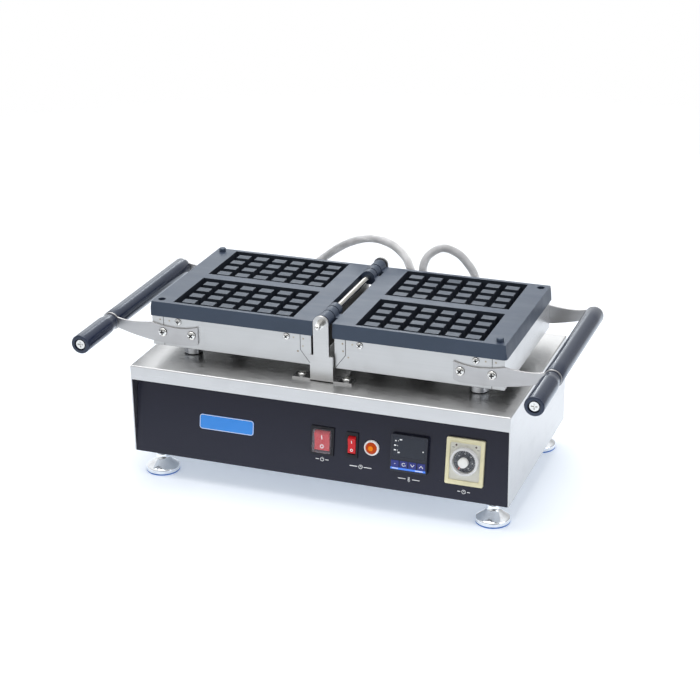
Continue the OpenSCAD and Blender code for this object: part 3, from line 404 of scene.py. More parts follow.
@dataclass(frozen=True)
class Enamel:
    """Painted or powder-coated sheet with a slight orange peel and settled dust."""

    name: str
    tint: Colour
    gloss: float = 0.2
    peel: float = 0.07
    sheen: float = 0.5

    def make(self) -> Material:
        """Build the material."""
        graph = Graph(self.name)
        place = graph.place()
        peel = graph.noise(place, 330.0, 2.0)
        cloud = graph.noise(place, 7.0, 4.0, 0.6)
        dust = graph.noise(place, 1900.0, 2.0)
        specks = graph.span(dust, 0.0, 0.12, 0.74, 0.84)
        smear = graph.noise(graph.place((1.0, 1.0, 2.4)), 21.0, 4.0, 0.62)
        base = graph.mottled(cloud, self.tint, 0.95, 1.07)
        graph.colour(graph.blend(specks, base, shade(self.tint, 1.8)))
        graph.roughness(graph.span(smear, self.gloss, self.gloss + 0.05, 0.4, 0.72), graph.span(cloud, 0.0, 0.03))
        graph.relief((peel, self.peel, 0.00012))
        graph.set(Specular_IOR_Level=self.sheen)
        return graph.material


@dataclass(frozen=True)
class Moulded:
    """Moulded plastic or rubber, with a fine texture and slightly rubbed patches."""

    name: str
    tint: Colour
    gloss: float = 0.35
    texture: float = 0.1
    scale: float = 1500.0
    clear: float = 0.0
    glow: float = 0.0
    alpha: float = 1.0
    wear: float = 0.09
    shine: float = 0.5

    def make(self) -> Material:
        """Build the material."""
        graph = Graph(self.name)
        place = graph.place()
        skin = graph.noise(place, self.scale, 2.0)
        patch = graph.noise(place, 60.0, 4.0, 0.6)
        graph.colour(graph.mottled(patch, self.tint, 0.92, 1.1))
        graph.roughness(graph.span(patch, self.gloss, self.gloss + self.wear), graph.span(skin, 0.0, self.wear * 0.45))
        graph.relief((skin, self.texture, 0.00006))
        graph.set(Transmission_Weight=self.clear, IOR=1.46, Alpha=self.alpha, Specular_IOR_Level=self.shine)
        # The glow is emission; on parts that are no lamps it is painted light.
        if self.glow:
            graph.set(Emission_Color=self.tint, Emission_Strength=self.glow)
        return graph.material


@dataclass(frozen=True)
class GripLacquer:
    """Glossy dark handle plastic with soft length-wise polish lines and hand wear."""

    name: str
    tint: Colour = (0.012, 0.016, 0.036)
    gloss: float = 0.2

    def make(self) -> Material:
        """Build the material."""
        graph = Graph(self.name)
        lines = graph.noise(graph.place((1.0, 0.02, 1.0)), 900.0, 3.0, 0.6)
        wear = graph.noise(graph.place((1.0, 0.25, 1.0)), 38.0, 4.0, 0.62)
        scuff = graph.noise(graph.place(), 520.0, 3.0, 0.7)
        graph.colour(
            graph.tones(wear, ((0.3, self.tint), (0.55, shade(self.tint, 1.08)), (0.8, shade(self.tint, 1.25))))
        )
        graph.roughness(
            graph.span(wear, self.gloss, self.gloss + 0.06, 0.42, 0.72), graph.span(scuff, 0.0, 0.03, 0.55, 0.7)
        )
        graph.relief((wear, 0.02, 0.0001), (lines, 0.008, 0.00001))
        graph.set(
            Specular_IOR_Level=0.5, Specular_Tint=(0.75, 0.87, 1.0), Coat_Weight=0.4, Coat_Roughness=0.1,
            Coat_Tint=(0.80, 0.90, 1.0),
        )
        return graph.material


@dataclass(frozen=True)
class WovenWire:
    """Bright stainless wire, slightly dull in the hollows of the weave."""

    name: str
    tint: Colour = (0.88, 0.88, 0.89)
    metal: float = 0.45

    def make(self) -> Material:
        """Build the material."""
        graph = Graph(self.name)
        place = graph.place()
        strand = graph.noise(place, 1300.0, 2.0)
        patch = graph.noise(place, 70.0, 3.0)
        graph.colour(graph.mottled(patch, self.tint, 0.84, 1.12, (0.3, 0.55, 0.8)))
        graph.roughness(graph.span(strand, 0.34, 0.5))
        graph.relief((strand, 0.1, 0.00005))
        graph.set(Metallic=self.metal, Specular_IOR_Level=0.7)
        return graph.material


@dataclass(frozen=True)
class HeatTint:
    """Straw and brown colours that a weld or a heater leaves on steel."""

    name: str
    core: Colour = (0.30, 0.25, 0.18)
    rim: Colour = (0.52, 0.48, 0.40)
    gloss: float = 0.34

    def make(self) -> Material:
        """Build the material."""
        graph = Graph(self.name)
        place = graph.place()
        patch = graph.noise(place, 260.0, 3.0)
        grit = graph.noise(place, 1700.0, 2.0)
        graph.colour(graph.tones(patch, ((0.35, self.core), (0.62, self.rim))))
        graph.roughness(graph.span(grit, self.gloss, self.gloss + 0.12))
        graph.relief((patch, 0.2, 0.0001))
        graph.set(Metallic=0.9)
        return graph.material


@dataclass
class Finishes:
    """All finishes, each made once."""

    made: dict[str, Material] = field(default_factory=dict)

    def get(self, finish: object) -> Material:
        """The material of a finish, made on the first call."""
        if finish.name not in self.made:
            self.made[finish.name] = finish.make()
        return self.made[finish.name]


CASE_STEEL = BrushedSteel("case_steel", Grain.ACROSS)
# Painted shade: the base's top carries a dark band under the gap between the irons.
TOP_STEEL = BrushedSteel("top_steel", Grain.ACROSS, scorch=0.028)
SIDE_STEEL = BrushedSteel("side_steel", Grain.AWAY, streak=0.4)
TRAY_STEEL = BrushedSteel("tray_steel", Grain.ACROSS, (0.575, 0.58, 0.58), 0.3, 0.5, 0.06)
ARM_STEEL = BrushedSteel("arm_steel", Grain.ACROSS, (0.50, 0.497, 0.50), 0.31, 0.5, 0.07)
BRACKET_STEEL = BrushedSteel("bracket_steel", Grain.ACROSS, (0.59, 0.59, 0.585), 0.28, 0.5, 0.07)
SCREW_STEEL = TurnedSteel("screw_steel", (0.82, 0.82, 0.80), 0.18)
ROD_STEEL = TurnedSteel("rod_steel", (0.60, 0.59, 0.55), 0.10)
REST_STEEL = TurnedSteel("rest_steel", (0.88, 0.90, 0.94), 0.14, 0.05)
SHADED_STEEL = BrushedSteel("shaded_steel", Grain.AWAY, (0.23, 0.22, 0.21), 0.36, 0.3, 0.12)
# Painted shade: darker steel for the tops of the brackets' feet.
FOOT_TOP_SHADE = BrushedSteel("foot_steel", Grain.ACROSS, (0.34, 0.34, 0.35), 0.2, 0.3, 0.06)
# Near black for painted shade in recesses, gaps and contact lines, and for the trays' dark seams.
SHADE_AND_JOINT_DARK = Moulded("recess_dark", (0.012, 0.011, 0.010), 0.6, 0.02, shine=0.1)
STUD_COAT = CastCoat("stud_coat", (0.052, 0.061, 0.082), (0.070, 0.082, 0.104), 0.42, 0.45)
# Painted shade: darker coat for the grooves of the plate's field.
GROOVE_SHADE_COAT = CastCoat("groove_coat", (0.011, 0.013, 0.020), (0.018, 0.020, 0.030), 0.40, 0.35)
GLAND_PLATE = TurnedSteel("gland_plate", (0.60, 0.59, 0.56), 0.26)
FOOT_CHROME = TurnedSteel("foot_chrome", (0.86, 0.89, 0.93), 0.07, 0.06)
PLATE_COAT = CastCoat("plate_coat")
PANEL_ENAMEL = Enamel("panel_enamel", (0.0085, 0.0095, 0.0240), 0.2, 0.015, 0.36)
NAME_ENAMEL = Enamel("name_enamel", (0.030, 0.26, 0.78), 0.16, 0.02)
GRIP_LACQUER = GripLacquer("grip_lacquer")
FOOT_RUBBER = Moulded("foot_rubber", (0.05, 0.17, 0.50), 0.55, 0.25, 900.0)
SWITCH_BLACK = Moulded("switch_black", (0.012, 0.013, 0.018), 0.36, 0.06, shine=0.35)
CASE_BLACK = Moulded("case_black", (0.017, 0.020, 0.032), 0.34, 0.1)
WINDOW_BLACK = Moulded("window_black", (0.014, 0.019, 0.032), 0.16, 0.01)
DIAL_BLACK = Moulded("dial_black", (0.055, 0.060, 0.070), 0.5, 0.03)
# Painted light: the red rockers glow a little, though they are not lit.
ROCKER_RED = Moulded("rocker_red", (0.56, 0.014, 0.020), 0.16, 0.02, 900.0, 0.0, 0.08, shine=0.3)
COVER_CLEAR = Moulded("cover_clear", (0.70, 0.62, 0.68), 0.06, 0.0, 700.0, 0.0, 0.0, 0.09, 0.01)
KNOB_CLEAR = Moulded("knob_clear", (0.93, 0.93, 0.94), 0.06, 0.0, 700.0, 0.0, 0.0, 0.60, 0.02)
DISC_CLEAR = Moulded("disc_clear", (0.35, 0.36, 0.40), 0.04, 0.0, 700.0, 0.0, 0.0, 0.07, 0.01)
# Painted light: the lamp's white ring glows a little, though it is no lamp.
LAMP_WHITE = Moulded("lamp_white", (0.88, 0.88, 0.88), 0.22, 0.03, 900.0, 0.0, 0.10)
LAMP_AMBER = Moulded("lamp_amber", (0.46, 0.050, 0.001), 0.10, 0.02, 700.0, 0.0, 0.14, shine=0.2)
LAMP_CORE = Moulded("lamp_core", (0.72, 0.20, 0.003), 0.10, 0.02, 700.0, 0.0, 0.18, shine=0.2)
KEY_BLUE = Moulded("key_blue", (0.036, 0.046, 0.22), 0.34, 0.03, shine=0.35)
# Painted light: the blue line and the cream case glow a little, though neither is a lamp.
LINE_BLUE = Moulded("line_blue", (0.07, 0.24, 0.95), 0.3, 0.03, 900.0, 0.0, 0.15)
CREAM = Moulded("cream_plastic", (0.76, 0.71, 0.47), 0.38, 0.06, 900.0, 0.0, 0.02)
FACE_GREY = Moulded("face_grey", (0.66, 0.65, 0.58), 0.5, 0.02)
HUB_WHITE = Moulded("hub_white", (0.82, 0.82, 0.80), 0.3, 0.03)
# Painted light: the white print glows a little.
INK_WHITE = Moulded("ink_white", (0.86, 0.87, 0.88), 0.5, 0.02, 900.0, 0.0, 0.06)
INK_DARK = Moulded("ink_dark", (0.03, 0.03, 0.035), 0.5, 0.02)
INK_RED = Moulded("ink_red", (0.75, 0.10, 0.05), 0.4, 0.02)
INK_MAROON = Moulded("ink_maroon", (0.045, 0.012, 0.018), 0.3, 0.02)
WIRE = WovenWire("woven_wire")
WIRE_CORE = WovenWire("wire_core", (0.58, 0.58, 0.59), 0.3)
WELD = HeatTint("weld_tint")
HEATER = HeatTint("heater_tint", (0.17, 0.15, 0.14), (0.30, 0.28, 0.26), 0.42)
INSIDE_PLASTIC = Moulded("inside_plastic", (0.60, 0.58, 0.52), 0.45, 0.1)


# ---- meshes


def mm(*values: float) -> Vector:
    """A point given in millimetres, in metres."""
    return Vector(values) * MM


def shift(x: float, y: float, z: float) -> Matrix:
    """Matrix of a move given in millimetres."""
    return Matrix.Translation(mm(x, y, z))


def tilt(degrees: float) -> Matrix:
    """Matrix of a turn about X."""
    return Matrix.Rotation(math.radians(degrees), 4, "X")


def polar(radius: float, angle: float) -> Pair:
    """The point at a distance from the middle and an angle in radians."""
    return (radius * math.cos(angle), radius * math.sin(angle))


def bridge(shape: BMesh, low: Sequence[BMVert], high: Sequence[BMVert]) -> None:
    """Join two rings of equal count with a wall."""
    for k, (one, other) in enumerate(zip(low, high)):
        after = (k + 1) % len(low)
        shape.faces.new((one, low[after], high[after], other))


def smooth(mesh: bpy.types.Mesh, sharp: float) -> None:
    """Shade a mesh smooth, except at edges above an angle in degrees."""
    mesh.polygons.foreach_set("use_smooth", [True] * len(mesh.polygons))
    mesh.set_sharp_from_angle(angle=math.radians(sharp))


def finish_mesh(mesh: bpy.types.Mesh, material: Material, sharp: float = 35.0) -> None:
    """Give a mesh one material and smooth shading with sharp corners.

    Args:
        mesh: The mesh.
        material: Its material.
        sharp: Angle in degrees above which an edge stays sharp.
    """
    mesh.materials.clear()
    mesh.materials.append(material)
    smooth(mesh, sharp)
    mesh.update()


def new_piece(name: str, mesh: bpy.types.Mesh) -> Object:
    """Link a mesh into the scene as an object at the origin."""
    piece = bpy.data.objects.new(name, mesh)
    bpy.context.scene.collection.objects.link(piece)
    return piece


def from_bmesh(name: str, shape: BMesh, material: Material, sharp: float = 35.0, outward: bool = True) -> Object:
    """Turn a bmesh into a finished piece.

    Args:
        name: The piece's name.
        shape: The bmesh, which is freed.
        material: Its material.
        sharp: Angle in degrees above which an edge stays sharp.
        outward: Whether to recalculate the normals.

    Returns:
        The new object.
    """
    if outward:
        bmesh.ops.recalc_face_normals(shape, faces=shape.faces)
    mesh = bpy.data.meshes.new(name)
    shape.to_mesh(mesh)
    shape.free()
    finish_mesh(mesh, material, sharp)
    return new_piece(name, mesh)


def settle(piece: Object) -> Object:
    """Apply a piece's modifiers and drop them."""
    bpy.context.view_layer.update()
    graph = bpy.context.evaluated_depsgraph_get()
    mesh = bpy.data.meshes.new_from_object(piece.evaluated_get(graph), preserve_all_data_layers=True, depsgraph=graph)
    piece.modifiers.clear()
    old = piece.data
    piece.data = mesh
    if isinstance(old, bpy.types.Mesh) and old.users == 0:
        bpy.data.meshes.remove(old)
    return piece


def lathe(
    name: str, profile: Sequence[Pair], material: Material, at: Point, axis: Point, steps: int = 64,
    closed: bool = False,
) -> Object:
    """Turn a profile about an axis.

    Args:
        name: The piece's name.
        profile: Radius and height pairs, in millimetres, from the axis or round a ring.
        material: Its material.
        at: The axis's foot, in millimetres.
        axis: Direction of rising height.
        steps: Facets round the axis.
        closed: Whether the profile closes on itself, for a ring.

    Returns:
        The new object.
    """
    shape = bmesh.new()
    rings: list[list[BMVert]] = []
    for radius, height in profile:
        if radius < 1e-6:
            rings.append([shape.verts.new((0.0, 0.0, height * MM))])
            continue
        circle = (polar(radius * MM, 2 * math.pi * k / steps) for k in range(steps))
        rings.append([shape.verts.new((*spot, height * MM)) for spot in circle])
    pairs = list(zip(rings, rings[1:])) + ([(rings[-1], rings[0])] if closed else [])
    for low, high in pairs:
        for k in range(steps):
            corners = [low[k % len(low)], low[(k + 1) % len(low)], high[(k + 1) % len(high)], high[k % len(high)]]
            unique = list(dict.fromkeys(corners))
            if len(unique) > 2:
                shape.faces.new(unique)
    turn = Vector(UPRIGHT).rotation_difference(Vector(axis).normalized()).to_matrix().to_4x4()
    bmesh.ops.transform(shape, matrix=shift(*at) @ turn, verts=shape.verts)
    return from_bmesh(name, shape, material)


def rounded(points: Sequence[Pair], radius: float) -> list[Pair]:
    """Round the inner corners of an open profile.

    Args:
        points: The profile's corners.
        radius: Fillet radius.

    Returns:
        The finer profile.
    """
    out = [points[0]]
    for before, here, after in zip(points, points[1:], points[2:]):
        a, b, c = Vector(before), Vector(here), Vector(after)
        reach = min(radius, (a - b).length * 0.45, (c - b).length * 0.45)
        start, stop = b + (a - b).normalized() * reach, b + (c - b).normalized() * reach
        for k in range(FILLET_STEPS + 1):
            t = k / FILLET_STEPS
            spot = start.lerp(b, t).lerp(b.lerp(stop, t), t)
            out.append((spot.x, spot.y))
    out.append(points[-1])
    return out


def prism(shape: BMesh, outline: Sequence[Pair], low: float, high: float, place: Matrix) -> None:
    """Add a straight prism to a bmesh.

    Args:
        shape: The bmesh.
        outline: Corners in x and y, in millimetres, in order.
        low: Lower height in millimetres.
        high: Upper height in millimetres.
        place: Matrix from the prism's own frame, in metres.
    """
    rings = [[shape.verts.new(place @ mm(x, y, z)) for x, y in outline] for z in (low, high)]
    shape.faces.new(rings[0][::-1])
    shape.faces.new(rings[1])
    bridge(shape, *rings)


def round_box(length: float, width: float, radius: float, steps: int = 5) -> list[Pair]:
    """Outline of a rectangle with round corners, about its middle."""
    out = []
    for quarter, (x, y) in enumerate(((1, 1), (-1, 1), (-1, -1), (1, -1))):
        for k in range(steps + 1):
            dx, dy = polar(radius, math.pi / 2 * (quarter + k / steps))
            out.append((x * (length / 2 - radius) + dx, y * (width / 2 - radius) + dy))
    return out


def rectangle(x0: float, y0: float, x1: float, y1: float) -> list[Pair]:
    """Outline of a rectangle between two opposite corners."""
    return [(x0, y0), (x1, y0), (x1, y1), (x0, y1)]


def ring(radius: float, steps: int = 32) -> list[Pair]:
    """Outline of a circle about its middle."""
    return [polar(radius, 2 * math.pi * k / steps) for k in range(steps)]


def corner_edges(shape: BMesh, limit: float) -> list[BMEdge]:
    """Edges of a bmesh where its faces turn by more than a limit in radians."""
    return [e for e in shape.edges if e.is_manifold and e.calc_face_angle(0.0) > limit]


def middle_of(edge: BMEdge) -> Vector:
    """An edge's middle in millimetres."""
    return (edge.verts[0].co + edge.verts[1].co) / (2 * MM)


def round_edges(shape: BMesh, edges: Sequence[BMEdge], width: float, steps: int) -> None:
    """Round edges over a width in millimetres."""
    bmesh.ops.bevel(
        shape, geom=edges, offset=width * MM, offset_type="WIDTH", segments=steps, profile=0.5,
        affect="EDGES", clamp_overlap=True,
    )


@dataclass
class Workshop:
    """Takes CAD nodes over: dresses them as they are, or replaces them with a rounded copy."""

    finishes: Finishes
    nodes: dict[str, Object]
    bodies: dict[str, str]

    def dress(self, node: str, finish: object, sharp: float = 32.0) -> None:
        """Keep a CAD node and give it a finish.

        Args:
            node: The node's name.
            finish: Its finish.
            sharp: Angle in degrees above which an edge stays sharp.
        """
        piece = self.nodes[node]
        piece.data.materials.clear()
        piece.data.materials.append(self.finishes.get(finish))
        piece.data.polygons.foreach_set("use_smooth", [True] * len(piece.data.polygons))
        weld = piece.modifiers.new("weld", "WELD")
        weld.merge_threshold = TOUCHING
        split = piece.modifiers.new("split", "EDGE_SPLIT")
        split.split_angle = math.radians(sharp)
        LOG.info("dressed %s", node)

    def soften(
        self, node: str, finish: object, edge: float = 0.6, steps: int = 2, corner: float = 32.0,
        folds: Callable[[Vector], bool] | None = None,
    ) -> Object:
        """Replace a CAD node with a copy whose corners are rounded.

        Args:
            node: The node's name.
            finish: Its finish.
            edge: Width of the rounding in millimetres.
            steps: Facets across it.
            corner: Angle in degrees above which an edge is rounded.
            folds: Says of an edge's middle whether it is the outside of a fold in the sheet.

        Returns:
            The new piece, which rides on the node's body.
        """
        shape = bmesh.new()
        shape.from_mesh(self.nodes[node].data)
        bmesh.ops.remove_doubles(shape, verts=shape.verts, dist=TOUCHING)
        bmesh.ops.dissolve_limit(shape, angle_limit=math.radians(0.4), verts=shape.verts, edges=shape.edges)
        limit = math.radians(corner)
        if folds:
            bends = [e for e in corner_edges(shape, limit) if folds(middle_of(e))]
            round_edges(shape, bends, FOLD_WIDTH, 4)
        round_edges(shape, corner_edges(shape, limit), edge, steps)
        piece = from_bmesh(f"{node}_soft", shape, self.finishes.get(finish), 48.0, outward=False)
        weighted = piece.modifiers.new("weighted", "WEIGHTED_NORMAL")
        weighted.keep_sharp = True
        return self.stand_in(settle(piece), node)

    def stand_in(self, piece: Object, *nodes: str) -> Object:
        """Let a piece replace CAD nodes and ride on their body, and return it."""
        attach(piece, self.bodies[nodes[0]])
        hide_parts(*nodes)
        LOG.info("%s replaces %s", piece.name, ", ".join(nodes))
        return piece

    def attach(self, piece: Object, body: str) -> Object:
        """Let an added piece ride on a body, and return it."""
        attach(piece, body)
        LOG.info("%s rides on %s", piece.name, body)
        return piece


# ---- node trees


class NodeWork(Tree):
    """A geometry node tree with named inputs, applied and removed again."""

    def __init__(self, name: str) -> None:
        """Start a tree with one geometry input and one geometry output."""
        super().__init__(bpy.data.node_groups.new(name, "GeometryNodeTree"))
        self.ids: dict[str, str] = {}
        self.input("Geometry", "NodeSocketGeometry")
        self.tree.interface.new_socket("Geometry", in_out="OUTPUT", socket_type="NodeSocketGeometry")
        self.source = self.add("NodeGroupInput")
        self.result = self.add("NodeGroupOutput")

    def input(self, label: str, kind: str = "NodeSocketFloat") -> None:
        """Declare a named input of one of Blender's socket types."""
        self.ids[label] = self.tree.interface.new_socket(label, in_out="INPUT", socket_type=kind).identifier

    def value(self, label: str) -> NodeSocket:
        """The socket of a named input."""
        return self.source.outputs[label]

    def vectors(self, operation: str, first: object, second: object) -> NodeSocket:
        """One step of vector arithmetic on sockets or points."""
        return self.add("ShaderNodeVectorMath", operation=operation, in_0=first, in_1=second).outputs[0]

    def scaled(self, vector: NodeSocket, factor: object) -> NodeSocket:
        """A vector times a number."""
        return self.add("ShaderNodeVectorMath", operation="SCALE", in_0=vector, in_Scale=factor).outputs[0]

    def end(self, geometry: NodeSocket) -> None:
        """Realize the geometry's instances and set the material."""
        real = self.add("GeometryNodeRealizeInstances", in_0=geometry)
        dyed = self.add("GeometryNodeSetMaterial", in_Geometry=real.outputs[0], in_Material=self.value("Material"))
        self.link(dyed.outputs[0], self.result.inputs[0])

    def run(self, carrier: Object, sharp: float = 35.0, **values: object) -> Object:
        """Apply the tree to a carrier and leave a plain mesh.

        Args:
            carrier: Object whose mesh or curve feeds the tree.
            sharp: Angle in degrees above which an edge stays sharp.
            values: The named inputs, with underscores for spaces.

        Returns:
            A mesh object with the carrier's name.
        """
        modifier = carrier.modifiers.new("build", "NODES")
        modifier.node_group = self.tree
        for key, value in values.items():
            modifier[self.ids[key.replace("_", " ")]] = value
        bpy.context.view_layer.update()
        graph = bpy.context.evaluated_depsgraph_get()
        mesh = bpy.data.meshes.new_from_object(carrier.evaluated_get(graph), depsgraph=graph)
        name = carrier.name
        bpy.data.objects.remove(carrier)
        finish_mesh(mesh, values["Material"], sharp)
        piece = new_piece(name, mesh)
        piece.name = name
        return piece


@dataclass
class Scatter:
    """Copies of one small shape on points, each facing its own way."""

    name: str

    def tree(self) -> NodeWork:
        """Build the node tree."""
        work = NodeWork(self.name)
        work.input("Shape", "NodeSocketObject")
        work.input("Spin")
        work.input("Material", "NodeSocketMaterial")
        shape = work.add("GeometryNodeObjectInfo", in_Object=work.value("Shape"))
        facing = work.add("GeometryNodeInputNamedAttribute", data_type="FLOAT_VECTOR", in_Name="facing")
        aim = work.add("FunctionNodeAlignRotationToVector", axis="Z", in_Vector=facing.outputs[0])
        random = work.add("FunctionNodeRandomValue", data_type="FLOAT", in_2=0.0, in_3=work.value("Spin"), in_Seed=7)
        spin = work.add("FunctionNodeAxisAngleToRotation", in_Axis=(0.0, 0.0, 1.0), in_Angle=random.outputs[1])
        turned = work.add(
            "FunctionNodeRotateRotation", rotation_space="LOCAL", in_0=aim.outputs[0], in_1=spin.outputs[0]
        )
        copies = work.add(
            "GeometryNodeInstanceOnPoints", in_Points=work.value("Geometry"), in_Instance=shape.outputs["Geometry"],
            in_Rotation=turned.outputs[0],
        )
        work.end(copies.outputs[0])
        return work

    def place(self, name: str, spots: Sequence[Spot], shape: Object, spin: float, material: Material) -> Object:
        """Put copies on spots.

        Args:
            name: The piece's name.
            spots: Place and facing of each copy, in metres.
            shape: The prototype, which is removed.
            spin: Largest random turn about the facing, in radians.
            material: The copies' material.

        Returns:
            The plain mesh object.
        """
        mesh = bpy.data.meshes.new(name)
        mesh.from_pydata([tuple(p) for p, _ in spots], [], [])
        attribute = mesh.attributes.new("facing", "FLOAT_VECTOR", "POINT")
        for item, (_, way) in zip(attribute.data, spots):
            item.vector = way
        carrier = new_piece(name, mesh)
        piece = self.tree().run(carrier, Shape=shape, Spin=spin, Material=material)
        bpy.data.objects.remove(shape)
        return piece


@dataclass
class Braid:
    """Woven sleeve of wires that wind both ways round a route."""

    radius: float = 5.72
    wire: float = 0.27
    pitch: float = 52.0
    strands: int = 22
    wave: float = 0.15

    def tree(self) -> NodeWork:
        """Build the node tree."""
        work = NodeWork("braid_round_route")
        for label in ("Radius", "Wire", "Pitch", "Wave"):
            work.input(label)
        work.input("Strands", "NodeSocketInt")
        work.input("Material", "NodeSocketMaterial")
        route = work.add("GeometryNodeResampleCurve", in_Curve=work.value("Geometry"), in_Count=260)
        parts = [self.wind(work, route.outputs[0], way) for way in (1.0, -1.0)]
        joined = work.add("GeometryNodeJoinGeometry")
        for part in parts:
            work.link(part, joined.inputs[0])
        work.end(joined.outputs[0])
        return work

    def wind(self, work: NodeWork, route: NodeSocket, way: float) -> NodeSocket:
        """Wind all the wires of one hand.

        Args:
            work: The tree.
            route: The resampled route.
            way: 1 for one hand, -1 for the other.

        Returns:
            The wires as a mesh.
        """
        copies = work.add(
            "GeometryNodeDuplicateElements", domain="SPLINE", in_Geometry=route, in_Amount=work.value("Strands")
        )
        share = work.maths("DIVIDE", copies.outputs["Duplicate Index"], work.value("Strands"))
        length = work.add("GeometryNodeSplineParameter").outputs["Length"]
        turns = work.times(work.maths("DIVIDE", length, work.value("Pitch")), way)
        angle = work.times(work.maths("ADD", share, turns), 2 * math.pi)
        phase = work.maths("ADD", work.times(turns, 2.0 * way), work.times(share, way))
        weave = work.times(phase, math.pi * self.strands)
        lift = work.times(work.times(work.maths("COSINE", weave), work.value("Wave")), way)
        reach = work.maths("ADD", work.value("Radius"), lift)
        tangent = work.add("GeometryNodeInputTangent").outputs[0]
        normal = work.add("GeometryNodeInputNormal").outputs[0]
        side = work.vectors("CROSS_PRODUCT", tangent, normal)
        out = work.scaled(normal, work.times(work.maths("COSINE", angle), reach))
        across = work.scaled(side, work.times(work.maths("SINE", angle), reach))
        offset = work.vectors("ADD", out, across)
        moved = work.add("GeometryNodeSetPosition", in_Geometry=copies.outputs[0], in_Offset=offset)
        section = work.add(
            "GeometryNodeCurvePrimitiveCircle", mode="RADIUS", in_Resolution=5, in_Radius=work.value("Wire")
        )
        wires = work.add("GeometryNodeCurveToMesh", in_Curve=moved.outputs[0], in_Profile_Curve=section.outputs[0])
        return wires.outputs[0]


# ---- the object's own sizes


@dataclass(frozen=True)
class Screw:
    """A pan-head screw: head radius and height, shank radius and length, in millimetres."""

    radius: float
    height: float
    shank: float
    length: float


@dataclass(frozen=True)
class Nut:
    """A hexagon nut: width across the flats, height and bore radius, in millimetres."""

    across: float
    height: float
    bore: float


COVER_SCREW = Screw(3.8, 2.3, 2.0, 9.0)
LUG_SCREW = Screw(4.4, 2.6, 2.5, 10.2)
ARM_SCREW = Screw(5.8, 3.2, 3.0, 11.2)
FRAME_NUT = Nut(10, 5, 3.05)


@dataclass
class Layout:
    """Sizes that the pieces share, in millimetres, as in the solid model."""

    base_w: float = 510.0
    base_d: float = 276.0
    base_z: float = 35.0
    base_h: float = 121.5
    base_y: float = 16.0
    lean: float = 9.4
    irons_y: float = 21.0
    plate_top: float = 234.8
    plate_bot: float = 215.8
    tray_bot: float = 175.4
    tray_y: float = 108.0
    tray_x0: float = 15.8
    tray_x1: float = 236.8
    handle_x: float = 296.5
    handle_z: float = 200.1
    arm_t: float = 2.5
    grip_l: float = 84.5
    handle_d: float = 25.0
    bolt_d: float = 8.0
    row_h: float = 51.0
    field_x0: float = 41.8
    field_x1: float = 208.3

    @property
    def front_y(self) -> float:
        """Front face of the base."""
        return self.base_y - self.base_d / 2

    @property
    def base_top(self) -> float:
        """Top face of the base."""
        return self.base_z + self.base_h

    def panel(self, x: float, h: float, out: float = 0.0) -> Matrix:
        """Frame on the leaning panel, out in front of it: x across, y up the slope, z outwards."""
        return shift(x, self.front_y, self.base_z) @ tilt(90 - self.lean) @ shift(0, h, out)

    def normal(self) -> Point:
        """Outward normal of the panel."""
        lean = math.radians(self.lean)
        return (0.0, -math.cos(lean), math.sin(lean))


def prototype(name: str, profile: Sequence[Pair], steps: int, closed: bool = False) -> Object:
    """Turn a prototype about Z, in a plain material that its copies lose."""
    return lathe(name, profile, bpy.data.materials.new("prototype"), ORIGIN, UPRIGHT, steps, closed)


def recess(head: Object, cutter: BMesh) -> Object:
    """Cut a shape, which is freed, out of a screw head."""
    tool = from_bmesh(f"{head.name}_tool", cutter, head.data.materials[0])
    cut = head.modifiers.new("recess", "BOOLEAN")
    cut.operation, cut.solver, cut.object = "DIFFERENCE", "EXACT", tool
    settle(head)
    bpy.data.objects.remove(tool)
    return head


def phillips(name: str, radius: float, height: float) -> Object:
    """Prototype of a pan head with a cross recess, standing on z = 0.

    Args:
        name: The prototype's name.
        radius: Head radius in millimetres.
        height: Head height in millimetres.

    Returns:
        The prototype object.
    """
    crown = [
        (radius * math.sin(a), height * (0.35 + 0.65 * math.cos(a))) for a in (math.pi / 2 * k / 7 for k in range(8))
    ]
    profile = [*crown, (radius, height * 0.12), (radius * 0.96, 0.0), (0.0, 0.0)]
    cutter = bmesh.new()
    arm, half = radius * 0.58, radius * 0.17
    quarter = ((arm, -half), (arm, half), (half, half))
    outline = [
        spot for way in QUARTERS for spot in ((way[0] * x - way[1] * y, way[1] * x + way[0] * y) for x, y in quarter)
    ]
    prism(cutter, outline, height * 0.38, height * 1.5, Matrix.Identity(4))
    return recess(prototype(name, profile, HEAD_STEPS), cutter)


def socket_head(name: str, radius: float, height: float, key: float) -> Object:
    """Prototype of a socket-head or button-head screw with a hexagon recess, standing on z = 0.

    Args:
        name: The prototype's name.
        radius: Head radius in millimetres.
        height: Head height in millimetres.
        key: Width of the hexagon's corners in millimetres.

    Returns:
        The prototype object.
    """
    profile = rounded(
        [(0.0, height), (radius * 0.72, height), (radius, height * 0.45), (radius, 0.0), (0.0, 0.0)], radius * 0.3
    )
    cutter = bmesh.new()
    prism(cutter, ring(key / 2, 6), height * 0.35, height * 1.5, Matrix.Identity(4))
    return recess(prototype(name, profile, HEAD_STEPS), cutter)


# ---- small shapes


def join(name: str, pieces: Iterable[Object]) -> Object:
    """Merge pieces at the origin into one mesh that keeps their materials.

    Args:
        name: The new piece's name.
        pieces: The pieces, which are removed.

    Returns:
        The merged object.
    """
    mesh = bpy.data.meshes.new(name)
    shape = bmesh.new()
    slots: list[Material] = []
    for piece in pieces:
        first = len(shape.faces)
        shape.from_mesh(piece.data)
        places = []
        for material in piece.data.materials:
            if material not in slots:
                slots.append(material)
            places.append(slots.index(material))
        shape.faces.ensure_lookup_table()
        for face in shape.faces[first:]:
            face.material_index = places[min(face.material_index, len(places) - 1)]
        bpy.data.objects.remove(piece)
    shape.to_mesh(mesh)
    shape.free()
    for material in slots:
        mesh.materials.append(material)
    return new_piece(name, mesh)


